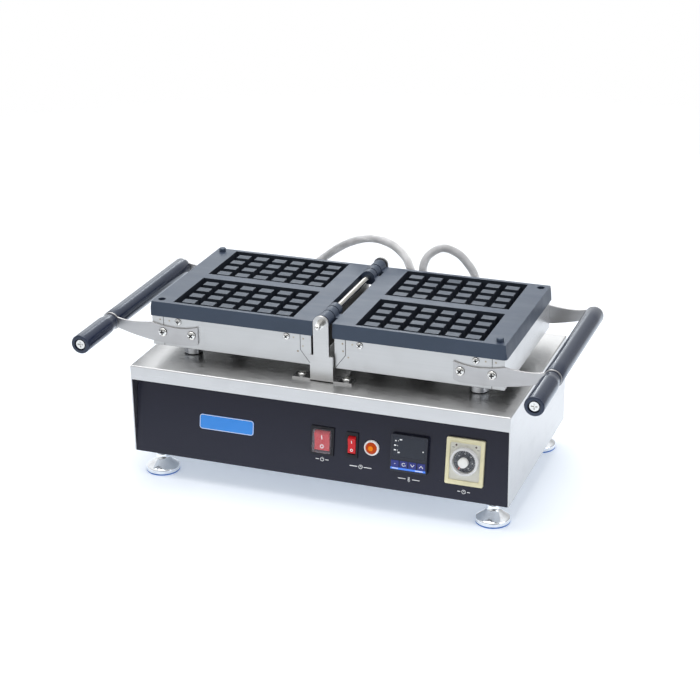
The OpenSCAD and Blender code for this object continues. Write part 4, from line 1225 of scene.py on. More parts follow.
def paint_where(piece: Object, material: Material, chosen: Callable[[MeshPolygon], bool]) -> None:
    """Give some faces of a piece another material.

    Args:
        piece: The piece.
        material: Their material.
        chosen: Says whether a face is one of them.
    """
    piece.data.materials.append(material)
    slot = len(piece.data.materials) - 1
    for face in piece.data.polygons:
        if chosen(face):
            face.material_index = slot


def sideways(face: MeshPolygon) -> bool:
    """Whether a face looks along X, either way."""
    return abs(face.normal.x) > 0.8


def centre(face: MeshPolygon) -> Vector:
    """A face's middle in millimetres."""
    return face.center / MM


def plate_stack(
    shape: BMesh, levels: Sequence[tuple[float, float, float, float]], place: Matrix, steps: int = 5,
    bottom: bool = True, top: bool = True,
) -> None:
    """Loft rounded rectangles into a closed block.

    Args:
        shape: The bmesh.
        levels: Length, width, corner radius and height of each level, in millimetres.
        place: Matrix from the block's own frame, in metres.
        steps: Points on each corner.
        bottom: Whether the first level is closed.
        top: Whether the last level is closed.
    """
    rings = [
        [shape.verts.new(place @ mm(x, y, height)) for x, y in round_box(length, width, radius, steps)]
        for length, width, radius, height in levels
    ]
    for low, high in zip(rings, rings[1:]):
        bridge(shape, low, high)
    if bottom:
        shape.faces.new(rings[0][::-1])
    if top:
        shape.faces.new(rings[-1])


def frame_strip(
    shape: BMesh, outer: Sequence[Pair], inner: Sequence[Pair], low: float, high: float, place: Matrix
) -> None:
    """Add a closed band between two outlines of equal count.

    Args:
        shape: The bmesh.
        outer: Outer outline in millimetres.
        inner: Inner outline in millimetres.
        low: Lower height.
        high: Upper height.
        place: Matrix from the band's own frame, in metres.
    """
    loops = [
        [shape.verts.new(place @ mm(x, y, z)) for x, y in line]
        for line, z in ((outer, low), (outer, high), (inner, high), (inner, low))
    ]
    for one, other in zip(loops, loops[1:] + loops[:1]):
        bridge(shape, one, other)


def stroke(shape: BMesh, points: Sequence[Pair], width: float, low: float, high: float, place: Matrix) -> None:
    """Draw a line of small blocks between points.

    Args:
        shape: The bmesh.
        points: The line's points in millimetres.
        width: Line width.
        low: Lower height.
        high: Upper height.
        place: Matrix from the line's own frame, in metres.
    """
    for (x0, y0), (x1, y1) in zip(points, points[1:]):
        along = Vector((x1 - x0, y1 - y0))
        side = Vector((-along.y, along.x)).normalized() * width / 2
        end = along.normalized() * width / 4
        first, last = Vector((x0, y0)) - end, Vector((x1, y1)) + end
        prism(shape, [tuple(v) for v in (first + side, first - side, last - side, last + side)], low, high, place)


def arc(radius: float, start: float, stop: float, steps: int = 14, middle: Pair = (0.0, 0.0)) -> list[Pair]:
    """Points along an arc, with its angles in degrees."""
    spots = (polar(radius, math.radians(start + (stop - start) * k / steps)) for k in range(steps + 1))
    return [(middle[0] + x, middle[1] + y) for x, y in spots]


# ---- stage


@dataclass
class Stage:
    """Camera, pale floor, white surroundings and soft lamps."""

    eye: Point = (0.77127, -2.04027, 1.07748)
    yaw: float = 20.61693
    pitch: float = 22.74474
    roll: float = -0.82668
    lens: float = 93.158
    sensor: float = 36.0
    floor_r: float = 2.6
    floor_glow: float = 0.34
    ambient: float = 0.46
    overhead: float = 58.0
    rear: float = 8.5
    flank: float = 13.0
    strip: float = 2.5
    fill: float = 7.5

    def camera(self) -> None:
        """Put the camera where the proportions match."""
        yaw, pitch, roll = (math.radians(a) for a in (self.yaw, self.pitch, self.roll))
        ahead = Vector((-math.sin(yaw) * math.cos(pitch), math.cos(yaw) * math.cos(pitch), -math.sin(pitch)))
        right = Vector((math.cos(yaw), math.sin(yaw), 0.0))
        up = right.cross(ahead)
        tilted = math.cos(roll) * right + math.sin(roll) * up
        above = -math.sin(roll) * right + math.cos(roll) * up
        data = bpy.data.cameras.new("view")
        data.lens, data.sensor_width = self.lens, self.sensor
        data.clip_end = 50.0
        camera = bpy.data.objects.new("view", data)
        camera.matrix_world = Matrix.Translation(self.eye) @ Matrix((tilted, above, -ahead)).transposed().to_4x4()
        bpy.context.scene.collection.objects.link(camera)
        bpy.context.scene.camera = camera

    def floor(self) -> None:
        """Round pale floor that fades into the white surroundings and keeps the shadow."""
        graph = Graph("floor_white")
        place = graph.place()
        distance = graph.add("ShaderNodeVectorMath", operation="LENGTH", in_0=place)
        fade = graph.span(distance.outputs["Value"], 0.0, 1.0, 0.45, self.floor_r * 0.75)
        cloud = graph.noise(place, 3.0)
        graph.colour(graph.tones(cloud, ((0.3, (0.86, 0.885, 0.915)), (0.7, (0.875, 0.90, 0.93)))))
        graph.set(
            Roughness=0.9, Specular_IOR_Level=0.1, Emission_Color=(0.70, 0.79, 0.93),
            Emission_Strength=self.floor_glow,
        )
        seen, clear = graph.shader.outputs["BSDF"], graph.add("ShaderNodeBsdfTransparent").outputs["BSDF"]
        mix = graph.add("ShaderNodeMixShader", in_0=fade, in_1=seen, in_2=clear)
        graph.link(mix.outputs["Shader"], graph.output.inputs["Surface"])
        shape = bmesh.new()
        bmesh.ops.create_circle(shape, cap_ends=True, segments=96, radius=self.floor_r)
        from_bmesh("floor", shape, graph.material, outward=False)

    def surroundings(self) -> None:
        """White for what the camera, metal and clear plastic see, and a soft grey for the rest."""
        world = bpy.data.worlds.new("surroundings")
        bpy.context.scene.world = world
        world.use_nodes = True
        work = Tree(world.node_tree)
        path = work.add("ShaderNodeLightPath")
        total = path.outputs["Is Camera Ray"]
        for name in ("Is Glossy Ray", "Is Transmission Ray"):
            total = work.maths("MAXIMUM", total, path.outputs[name])
        bright = self.studio(work, path)
        level = work.add("ShaderNodeMix", data_type="FLOAT", in_Factor=total, in_A=self.ambient, in_B=bright)
        sky = work.add("ShaderNodeBackground", in_Color=(1.0, 1.0, 1.0, 1.0), in_Strength=level.outputs["Result"])
        work.add("ShaderNodeOutputWorld", in_Surface=sky.outputs["Background"])

    def studio(self, work: Tree, path: Node) -> NodeSocket:
        """Brightness of the surroundings: white for the camera, darker in front and at the right for metal.

        Args:
            work: The world's node tree.
            path: Its light path node.

        Returns:
            The value socket.
        """
        way = work.add("ShaderNodeTexCoord").outputs["Generated"]
        x, y, z = work.add("ShaderNodeSeparateXYZ", in_0=way).outputs
        low = work.span(z, 0.0, 1.0, 0.75, 0.35)
        front = work.times(work.times(work.span(y, 0.0, 1.0, 0.0, -0.45), low), 0.38)
        right = work.times(work.times(work.span(x, 0.0, 1.0, -0.3, 0.45), low), 0.5)
        metal = work.times(work.maths("ADD", front, right), path.outputs["Is Glossy Ray"])
        return work.maths("SUBTRACT", 1.0, metal)

    def lamp(
        self, name: str, place: Point, size: float, power: float, tint: Colour = (1.0, 1.0, 1.0), width: float = 0.0,
        mirrored: bool = True,
    ) -> None:
        """Add one soft lamp that looks at the object's middle.

        Args:
            name: The lamp's name.
            place: Its place in metres.
            size: Its height in metres.
            power: Its power in watts.
            tint: Its colour.
            width: Its width in metres, 0 for a square.
            mirrored: Whether metal shows it.
        """
        data = bpy.data.lights.new(name, "AREA")
        data.shape, data.energy, data.color = "RECTANGLE", power, tint
        data.size, data.size_y = width or size, size
        lamp = bpy.data.objects.new(name, data)
        lamp.visible_glossy = mirrored
        way = Vector((0.0, 0.0, 0.15)) - Vector(place)
        lamp.matrix_world = Matrix.Translation(place) @ way.to_track_quat("-Z", "Y").to_matrix().to_4x4()
        bpy.context.scene.collection.objects.link(lamp)

    def build(self) -> None:
        """Set the view up and build everything that isn't part of the object."""
        bpy.context.scene.view_settings.view_transform = "Standard"
        self.camera()
        self.floor()
        self.surroundings()
        self.lamp("overhead", (-0.25, 0.1, 2.7), 2.6, self.overhead)
        self.lamp("rear", (-1.2, 2.4, 1.7), 1.8, self.rear, (0.97, 0.99, 1.0))
        self.lamp("flank", (2.4, -0.4, 1.3), 1.5, self.flank, (0.98, 0.99, 1.0))
        self.lamp("strip", (-0.75, 2.3, 1.55), 1.5, self.strip, (1.0, 1.0, 1.0), 0.09)
        self.lamp("fill", (0.5, -2.6, 1.0), 1.8, self.fill, (1.0, 1.0, 1.0), 0.0, False)
        LOG.info("stage is set")


# ---- sub-assemblies


@dataclass
class Part:
    """What every sub-assembly needs: the workshop and the shared layout."""

    shop: Workshop
    lay: Layout

    def mat(self, finish: object) -> Material:
        """The material of a finish."""
        return self.shop.finishes.get(finish)

    def copies(self, name: str, spots: Sequence[Spot], shape: Object, spin: float, finish: object) -> Object:
        """Copies of a prototype on spots, each turned at random by up to spin radians."""
        return Scatter(f"{name}_tree").place(name, spots, shape, spin, self.mat(finish))

    def marks(self, name: str, shape: BMesh, finish: object, body: str) -> Object:
        """Finish a bmesh of printed marks and let it ride on a body."""
        return self.shop.attach(from_bmesh(name, shape, self.mat(finish)), body)

    def screws(self, name: str, spots: Sequence[Spot], screw: Screw) -> Object:
        """Pan heads with a cross recess and their shanks, on spots.

        Args:
            name: The piece's name.
            spots: Place and facing of each head's seat.
            screw: Their size.

        Returns:
            One mesh with all of them.
        """
        radius, height, shank, length = screw.radius, screw.height, screw.shank, screw.length
        head = phillips(f"{name}_head", radius, height)
        arm, half = radius * 0.55, radius * 0.15
        # Painted shade: a dark cross in each recess and a dark ring round each head's seat.
        shade_lines = bmesh.new()
        for a, b in ((arm, half), (half, arm)):
            prism(
                shade_lines, rectangle(-a, -b, a, b), height * 0.34, height * 0.46 + (0.02 if a > b else 0.0),
                Matrix.Identity(4),
            )
        frame_strip(
            shade_lines, ring(radius + 0.22, 28), ring(radius * 0.9, 28), 0.0, height * 0.10, Matrix.Identity(4)
        )
        lines = from_bmesh(f"{name}_gloom_proto", shade_lines, bpy.data.materials.new("prototype"))
        gloom = self.copies(f"{name}_gloom", spots, lines, SCREW_TURN, SHADE_AND_JOINT_DARK)
        stem = prototype(
            f"{name}_stem",
            [(0, -length), (shank * 0.7, -length), (shank, -length + shank * 0.4), (shank, 0.02), (0, 0.02)], 20,
        )
        metal = self.copies(f"{name}_metal", spots, join(f"{name}_proto", (head, stem)), SCREW_TURN, SCREW_STEEL)
        return join(name, (metal, gloom))

    def nuts(self, name: str, spots: Sequence[Spot], nut: Nut) -> Object:
        """Hexagon nuts on spots, standing on their seats.

        Args:
            name: The piece's name.
            spots: Place and facing of each nut's seat.
            nut: Their size.

        Returns:
            One mesh with all of them.
        """
        reach, height, bore = nut.across / math.sqrt(3), nut.height, nut.bore
        hexagon = prototype(
            f"{name}_nut",
            [
                (bore, 0), (reach * 0.94, 0), (reach, height * 0.12), (reach, height * 0.88), (reach * 0.94, height),
                (bore, height),
            ],
            6, closed=True,
        )
        return self.copies(name, spots, hexagon, 0.4, SCREW_STEEL)


@dataclass
class Casework(Part):
    """Folded shell, leaning panel, rear and bottom sheets, their screws and the parts inside."""

    sheet: float = 1.5
    flange: float = 13.0
    name_l: float = 76.0
    name_h: float = 20.0
    name_x: float = -125.0

    def build(self) -> None:
        """Build the casework."""
        shop, lay = self.shop, self.lay

        def is_fold(spot: Vector) -> bool:
            at_side = abs(abs(spot.x) - lay.base_w / 2) < ON_FACE
            return spot.z > lay.base_top - ON_FACE and (abs(spot.y - lay.front_y) < ON_FACE or at_side)

        shell = shop.soften("base_shell", CASE_STEEL, 0.9, 3, folds=is_fold)
        paint_where(shell, self.mat(SIDE_STEEL), sideways)
        paint_where(shell, self.mat(TOP_STEEL), lambda f: f.normal.z > 0.9 and centre(f).z > lay.base_top - 0.5)
        shop.soften("control_panel", PANEL_ENAMEL, 0.35, 2)
        shop.dress("rear_panel", CASE_STEEL)
        shop.dress("bottom_plate", CASE_STEEL)
        self.cover_screws()
        self.nameplate()
        shop.dress("terminal_block", INSIDE_PLASTIC)
        shop.dress("contactor", SWITCH_BLACK)
        shop.dress("cable_glands", GLAND_PLATE, 28)
        LOG.info("casework of %.0f by %.0f mm", lay.base_w, lay.base_d)

    def cover_screws(self) -> None:
        """Screws under the sides and along the top of the rear sheet."""
        lay = self.lay
        x = (lay.base_w - 2 * self.sheet) / 2 - self.flange / 2
        spots = [
            (mm(s * x, lay.base_y + y * lay.base_d, lay.base_z), Vector((0, 0, -1)))
            for s in (-1, 1) for y in (-0.28, 0, 0.28)
        ]
        back = lay.base_y + lay.base_d / 2
        spots += [
            (mm(t * lay.base_w, back, lay.base_top - self.sheet - self.flange / 2), Vector((0, 1, 0)))
            for t in (-0.38, 0, 0.38)
        ]
        self.shop.stand_in(self.screws("cover_screw_set", spots, COVER_SCREW), "cover_screws")

    def nameplate(self) -> None:
        """Blank enamelled plate with a fine bright border."""
        place = self.lay.panel(self.name_x, self.lay.row_h + 2)
        shape = bmesh.new()
        plate_stack(
            shape,
            [
                (self.name_l, self.name_h, 4, 0), (self.name_l, self.name_h, 4, 0.55),
                (self.name_l - 0.5, self.name_h - 0.5, 3.8, 0.8),
            ],
            place, 8,
        )
        plate = from_bmesh("name_face", shape, self.mat(NAME_ENAMEL))
        edge = bmesh.new()
        frame_strip(
            edge, round_box(self.name_l - 0.8, self.name_h - 0.8, 3.6, 8),
            round_box(self.name_l - 2.0, self.name_h - 2.0, 3.0, 8), 0.78, 0.86, place,
        )
        border = from_bmesh("name_edge", edge, self.mat(INK_WHITE))
        self.shop.stand_in(join("name_badge", (plate, border)), "nameplate")


@dataclass
class Hinge(Part):
    """Brackets, rod, cap nuts and the rests that the open irons lie on."""

    bracket_y: float = 111.5
    bracket_t: float = 3.0
    upright_w: float = 31.0
    foot_w: float = 80.0
    foot_d: float = 18.0
    joint_h: float = 1.5
    button: Point = (5.4, 3.1, 4.6)
    shank_r: float = 3.0
    shank_l: float = 12.4
    rest_x: float = 195.5
    rest_y: float = 75.0
    rest_r: float = 12.25

    def build(self) -> None:
        """Build the hinge."""
        for name in ("hinge_bracket_front", "hinge_bracket_rear"):
            bracket, low = self.shop.soften(name, BRACKET_STEEL, 0.4, 2), self.lay.base_top + 5
            # Painted shade: the tops of the feet get a darker steel for the dark that they reflect.
            paint_where(bracket, self.mat(FOOT_TOP_SHADE), lambda f: f.normal.z > 0.9 and centre(f).z < low)
        self.shop.dress("hinge_rod", ROD_STEEL)
        self.shop.dress("hinge_nuts", SCREW_STEEL, 28)
        # Painted shade: the hinge nuts' faces inside the brackets are painted dark.
        nuts, inner = self.shop.nodes["hinge_nuts"], self.bracket_y - 3
        paint_where(nuts, self.mat(SHADE_AND_JOINT_DARK), lambda f: abs(centre(f).y - self.lay.irons_y) < inner)
        self.bracket_lines()
        self.bracket_screws()
        self.rests()

    def bracket_lines(self) -> None:
        """Painted shadow: a dark line where the front bracket's upright ends above the base."""
        lay, shape = self.lay, bmesh.new()
        half, low, y = self.upright_w / 2, lay.base_top, lay.irons_y - self.bracket_y - self.bracket_t
        prism(shape, rectangle(-half, 0, half, self.joint_h), -0.02, 0.06, shift(0, y, low) @ tilt(90))
        self.marks("bracket_joint", shape, SHADE_AND_JOINT_DARK, "base")

    def bracket_screws(self) -> None:
        """Button heads, shanks and nuts that hold the brackets' feet."""
        lay = self.lay
        x, y = self.foot_w / 2 - 10, self.bracket_y + self.bracket_t - self.foot_d + 8
        holes = [(sx * x, lay.irons_y + sy * y) for sx in (-1, 1) for sy in (-1, 1)]
        head = socket_head("bracket_head", *self.button)
        r, length = self.shank_r, self.shank_l
        stem = prototype("bracket_stem", [(0, -length), (r, -length), (r, 0.02), (0, 0.02)], 20)
        top = lay.base_top + self.bracket_t
        above, below = ([(mm(a, b, z), Vector(UPRIGHT)) for a, b in holes] for z in (top, lay.base_top - 6.5))
        heads = self.copies("bracket_heads", above, join("bracket_proto", (head, stem)), 1.0, SCREW_STEEL)
        nuts = self.nuts("bracket_nuts", below, FRAME_NUT)
        self.shop.stand_in(join("bracket_fasteners", (heads, nuts)), "bracket_screws")

    def rests(self) -> None:
        """Turned rests with a groove round the middle, with painted shade at the foot and in the groove."""
        lay, r = self.lay, self.rest_r
        h = lay.tray_bot - 0.2 - lay.base_top
        profile = [
            (0, 0), (r - 0.8, 0), (r - 0.8, 1.0), (r, 1.4), (r, h * 0.5 - 0.5), (r - 0.5, h * 0.5),
            (r - 1.5, h * 0.5), (r - 1.5, h * 0.6), (r - 0.5, h * 0.6), (r, h * 0.6 + 0.5), (r, h - 1.0),
            (r - 1.0, h), (0, h),
        ]

        def up(face: MeshPolygon) -> float:
            return centre(face).z - lay.base_top

        rests = [
            lathe(
                f"rest_{sx}_{sy}", profile, self.mat(REST_STEEL),
                (sx * self.rest_x, lay.irons_y + sy * self.rest_y, lay.base_top), UPRIGHT, 48,
            )
            for sx in (-1, 1) for sy in (-1, 1)
        ]
        # Painted shade: a dark ring at each rest's foot and in its groove.
        for rest in rests:
            paint_where(rest, self.mat(SHADE_AND_JOINT_DARK), lambda f: up(f) < 1.2 or 0.47 < up(f) / h < 0.63)
        self.shop.stand_in(join("rest_set", rests), "iron_rests")


@dataclass
class Iron(Part):
    """One cast iron with its tray, screws, arms and handle."""

    side: Side = Side.LEFT
    clamp_x: Pair = (80.34, 181.05)
    lug_x: Pair = (49.2, 200.0)
    lug_z: float = 210.2
    arm_x: Pair = (180.8, 221.3)
    arm_z: float = 194.74
    clamp_z: float = 204.25
    neck_r: float = 10.75
    field_y: float = 105.0
    shaded_x: float = 24.0
    nut_in: float = 9.2
    weld_spots: tuple[Pair, ...] = (
        (212.5, 210.6), (225.5, 210.8), (39.5, 210.0), (26.5, 209.6), (27.0, 199.6), (34.0, 191.9)
    )

    def build(self) -> None:
        """Build the iron."""
        word = self.side.word
        plate = self.shop.soften(f"{word}_plate", PLATE_COAT, 1.0, 3, 24.0)
        middle = (self.lay.field_x0 + self.lay.field_x1) / 2
        half = (self.lay.field_x1 - self.lay.field_x0) / 2 + 2
        top = self.lay.plate_top

        def in_field(face: MeshPolygon) -> bool:
            spot = centre(face)
            beside = abs(abs(spot.x) - middle) < half and abs(spot.y - self.lay.irons_y) < self.field_y
            return beside and spot.z > self.lay.plate_bot + 4

        def is_stud(face: MeshPolygon) -> bool:
            return in_field(face) and abs(centre(face).z - top + 1.8) < 0.3 and face.normal.z > 0.9

        # Painted shade: the field's grooves get a darker coat.
        paint_where(plate, self.mat(GROOVE_SHADE_COAT), lambda f: in_field(f) and centre(f).z < top - 1.0)
        paint_where(plate, self.mat(STUD_COAT), is_stud)
        tray = self.shop.soften(f"{word}_tray", TRAY_STEEL, 0.5, 2)
        paint_where(tray, self.mat(SIDE_STEEL), sideways)
        paint_where(tray, self.mat(SHADED_STEEL), lambda f: sideways(f) and abs(centre(f).x) < self.shaded_x)
        self.shop.soften(f"{word}_arms", ARM_STEEL, 0.5, 2)
        self.shop.dress(f"{word}_element", HEATER, 28)
        self.shop.dress(f"{word}_gland", GLAND_PLATE, 28)
        self.fasteners()
        self.welds()
        self.seams()
        self.handle()

    def sides(self, spots: Sequence[Pair], out: float) -> list[Spot]:
        """Turn distances from the hinge and heights into spots on faces before and behind the irons' middle."""
        return [
            (mm(self.side.value * x, self.lay.irons_y + s * out, z), Vector((0, s, 0)))
            for x, z in spots for s in (-1, 1)
        ]

    def fasteners(self) -> None:
        """Screws of the lugs, the arms and the heater's clamp, with their nuts."""
        word, lay = self.side.word, self.lay
        lugs = self.screws(
            f"{word}_lug_screws", self.sides([(x, self.lug_z) for x in self.lug_x], lay.tray_y), LUG_SCREW
        )
        seats = self.sides([(x, self.arm_z) for x in self.arm_x], lay.tray_y + lay.arm_t)
        arms = self.screws(f"{word}_arm_screws", seats, ARM_SCREW)
        nuts = self.nuts(f"{word}_arm_nuts", [(p - w * self.nut_in * MM, w) for p, w in seats], FRAME_NUT)
        places = [(mm(self.side.value * x, lay.irons_y, self.clamp_z), Vector(UPRIGHT)) for x in self.clamp_x]
        reach = 4 / math.cos(math.pi / 6)
        head = prototype(
            f"{word}_clamp_head", [(0, -3.5), (reach * 0.92, -3.5), (reach, -3.1), (reach, 0.0), (0, 0.0)], 6
        )
        stem = prototype(f"{word}_clamp_stem", [(0, -0.02), (2.5, -0.02), (2.5, 23.4), (1.8, 23.9), (0, 23.9)], 20)
        bolts = self.copies(f"{word}_clamp_bolts", places, join(f"{word}_clamp_proto", (head, stem)), 0.8, SCREW_STEEL)
        self.shop.stand_in(join(f"{word}_fasteners", (lugs, arms, nuts, bolts)), f"{word}_screws")

    def welds(self) -> None:
        """Tinted spot welds where the tray's end flaps lie on its long sides."""
        word = self.side.word
        dot = prototype(f"{word}_dot", [(0, 0.04), (0.55, 0.05), (1.0, 0.10), (1.25, 0.0), (0, -0.02)], 18)
        piece = self.copies(f"{word}_spot_welds", self.sides(self.weld_spots, self.lay.tray_y), dot, 3.0, WELD)
        self.shop.attach(piece, self.side.body)

    def seams(self) -> None:
        """Dark joints where the end flaps lie on the tray's long sides."""
        word, lay, shape = self.side.word, self.lay, bmesh.new()
        side, low, bend = self.side.value, lay.tray_bot, lay.tray_bot + 19
        lines = (
            [(lay.tray_x1 - 16.05, low + 0.4), (lay.tray_x1 - 16.05, lay.plate_bot - 0.4)],
            [(lay.tray_x0 + 0.8, low + 0.6), (lay.tray_x0 + 14.65, bend), (lay.tray_x0 + 14.65, lay.plate_bot - 0.4)],
        )
        for way in (-1, 1):
            face = shift(0, lay.irons_y + way * lay.tray_y, 0) @ tilt(90)
            for line in lines:
                stroke(shape, [(side * x, z) for x, z in line], 0.55, -0.04, 0.04, face)
        self.marks(f"{word}_tray_seams", shape, SHADE_AND_JOINT_DARK, self.side.body)

    def handle(self) -> None:
        """Turned sleeve and front grip on the handle's bolt."""
        word, lay, r = self.side.word, self.lay, self.lay.handle_d / 2
        x, bore, q = self.side.value * lay.handle_x, lay.bolt_d / 2 + 0.05, self.neck_r
        half = lay.tray_y
        tube = [(r, -half + 0.8 + (2 * half - 1.6) * k / 8) for k in range(9)]
        profile = [
            (bore, -half), (r - 0.7, -half), (r - 0.2, -half + 0.25), *tube, (r - 0.2, half - 0.25), (r - 0.7, half),
            (bore, half),
        ]
        sleeve = lathe(
            f"{word}_handle_sleeve", profile, self.mat(GRIP_LACQUER), (x, lay.irons_y, lay.handle_z), (0, 1, 0), 64,
            closed=True,
        )
        self.shop.stand_in(sleeve, f"{word}_sleeve")
        swell = [(q + (r - q) * (3 * t * t - 2 * t * t * t), 5 + 15 * t) for t in (k / 10 for k in range(1, 11))]
        end = lay.grip_l
        line = [
            (bore, 0), (q - 0.6, 0), (q - 0.15, 0.2), (q, 0.7), (q, 5), *swell, (r, 40), (r, 62),
            *[
                (r - 1.6 + 1.6 * math.cos(a), end - 1.6 + 1.6 * math.sin(a))
                for a in (math.pi / 2 * k / 5 for k in range(6))
            ],
            (8.3, end), (7.9, end - 0.3), (7.76, end - 0.8), (7.76, end - 4), (bore, end - 4),
        ]
        grip = lathe(
            f"{word}_front_grip", line, self.mat(GRIP_LACQUER),
            (x, lay.irons_y - lay.tray_y - lay.arm_t, lay.handle_z), (0, -1, 0), 64, closed=True,
        )
        self.shop.stand_in(grip, f"{word}_grip")
        self.shop.dress(f"{word}_handle_bolt", SCREW_STEEL, 28)


@dataclass
class Conduit(Part):
    """Braided metal hose that carries one iron's wires from the base to its tray."""

    side: Side = Side.LEFT
    radius: float = 6.0
    tray_x: float = 124.0
    base_x: float = 48.0
    tray_z: float = 194.4
    tray_end_y: float = 149.0
    base_end: Pair = (143.4, 176.5)
    route: tuple[Point, ...] = ()
    ferrule: float = 9.0

    def line(self) -> list[Vector]:
        """Smooth line through the route, from the tray's gland to the base's, in metres."""
        a = Vector((self.side.value * self.tray_x, self.tray_end_y, self.tray_z))
        b = Vector((self.base_x, *self.base_end))
        knots = [
            a - Vector((0, 14, 0)), a, a + Vector((0, 8, 0)),
            *[Vector(p) + Vector((0, self.lay.base_y, 0)) for p in self.route], b + Vector((0, 0, 7)), b,
            b - Vector((0, 0, 12)),
        ]
        out: list[Vector] = []
        for p, q, r, s in zip(knots, knots[1:], knots[2:], knots[3:]):
            for k in range(ROUTE_STEPS):
                t = k / ROUTE_STEPS
                bend, curl = 2 * p - 5 * q + 4 * r - s, 3 * q - p - 3 * r + s
                out.append(0.5 * (2 * q + (r - p) * t + bend * t * t + curl * t ** 3) * MM)
        out.append(b * MM)
        return out

    def tube(self, name: str, points: Sequence[Vector], radius: float, finish: object, steps: int = 24) -> Object:
        """Closed round tube along points.

        Args:
            name: The piece's name.
            points: Its centre line in metres.
            radius: Its radius in millimetres.
            finish: Its finish.
            steps: Facets round it.

        Returns:
            The new object.
        """
        shape = bmesh.new()
        rings, side = [], Vector((1.0, 0.0, 0.0))
        for index, point in enumerate(points):
            way = (points[min(index + 1, len(points) - 1)] - points[max(index - 1, 0)]).normalized()
            side = (side - side.dot(way) * way).normalized()
            other = way.cross(side)
            rings.append([shape.verts.new(point + radius * MM * (x * side + y * other)) for x, y in ring(1, steps)])
        for low, high in zip(rings, rings[1:]):
            bridge(shape, low, high)
        shape.faces.new(rings[0][::-1])
        shape.faces.new(rings[-1])
        return from_bmesh(name, shape, self.mat(finish))

    def build(self) -> None:
        """Build the conduit, its braid and its two ferrules."""
        word, points = self.side.word, self.line()
        length = sum((q - p).length for p, q in zip(points, points[1:]))
        core = self.tube(f"{word}_core", points, self.radius - 1.05, WIRE_CORE)
        curve = bpy.data.curves.new(f"{word}_route", "CURVE")
        curve.dimensions = "3D"
        spline = curve.splines.new("POLY")
        spline.points.add(len(points) - 1)
        for knot, point in zip(spline.points, points):
            knot.co = (*point, 1.0)
        carrier = bpy.data.objects.new(f"{word}_braid", curve)
        bpy.context.scene.collection.objects.link(carrier)
        braid = Braid()
        mesh = braid.tree().run(
            carrier, 60.0, Radius=(self.radius - 0.68) * MM, Wire=braid.wire * MM, Pitch=braid.pitch * MM,
            Wave=braid.wave * MM, Strands=braid.strands, Material=self.mat(WIRE),
        )
        count = max(2, round(self.ferrule * MM / (length / (len(points) - 1))))
        ends = [
            self.tube(f"{word}_ferrule_{n}", part, self.radius + 0.25, GLAND_PLATE, 32)
            for n, part in enumerate((points[: count + 1], points[-count - 1 :]))
        ]
        hose = join(f"{word}_hose", (core, mesh, *ends))
        smooth(hose.data, 60)
        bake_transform(hose)
        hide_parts(f"{word}_conduit")
        LOG.info("%s hose of %.0f mm", word, length / MM)


@dataclass
class Foot(Part):
    """Turned chrome foot with a rubber pad."""

    corner: str = "fl"
    foot_x: float = 228.0
    foot_in: float = 25.0
    radius: float = 22.5
    neck: float = 8.5
    stem: float = 4.0
    pad: float = 2.0

    def build(self) -> None:
        """Build the foot."""
        lay, r, q, z0 = self.lay, self.radius, self.neck, self.pad
        x = self.foot_x * (-1 if self.corner[1] == "l" else 1)
        y = lay.base_y + (lay.base_d / 2 - self.foot_in) * (-1 if self.corner[0] == "f" else 1)
        top = lay.base_z - 16
        cone = [(q + (r - 1.1 - q) * (1 - t) ** 1.22, z0 + 6 + (top - z0 - 6) * t) for t in (k / 12 for k in range(13))]
        profile = [
            (0, z0), (r - 0.8, z0), (r - 0.2, z0 + 0.3), (r, z0 + 1.0), (r, z0 + 4.2), (r - 0.3, z0 + 5.2), *cone,
            (q, top + 4.6), (q - 0.3, top + 5.6), (q - 1.1, top + 6), (self.stem, top + 6),
            (self.stem, lay.base_z + 15.5), (0, lay.base_z + 15.5),
        ]
        foot = lathe(f"chrome_foot_{self.corner}", profile, self.mat(FOOT_CHROME), (x, y, 0), UPRIGHT, 72)
        self.shop.stand_in(foot, f"foot_{self.corner}")
        rim = r - 0.4
        sole = lathe(
            f"rubber_sole_{self.corner}",
            [(0, 0), (rim - 0.5, 0), (rim, 0.5), (rim, z0 - 0.3), (rim - 0.3, z0), (0, z0)], self.mat(FOOT_RUBBER),
            (x, y, 0), UPRIGHT, 72,
        )
        self.shop.stand_in(sole, f"foot_pad_{self.corner}")


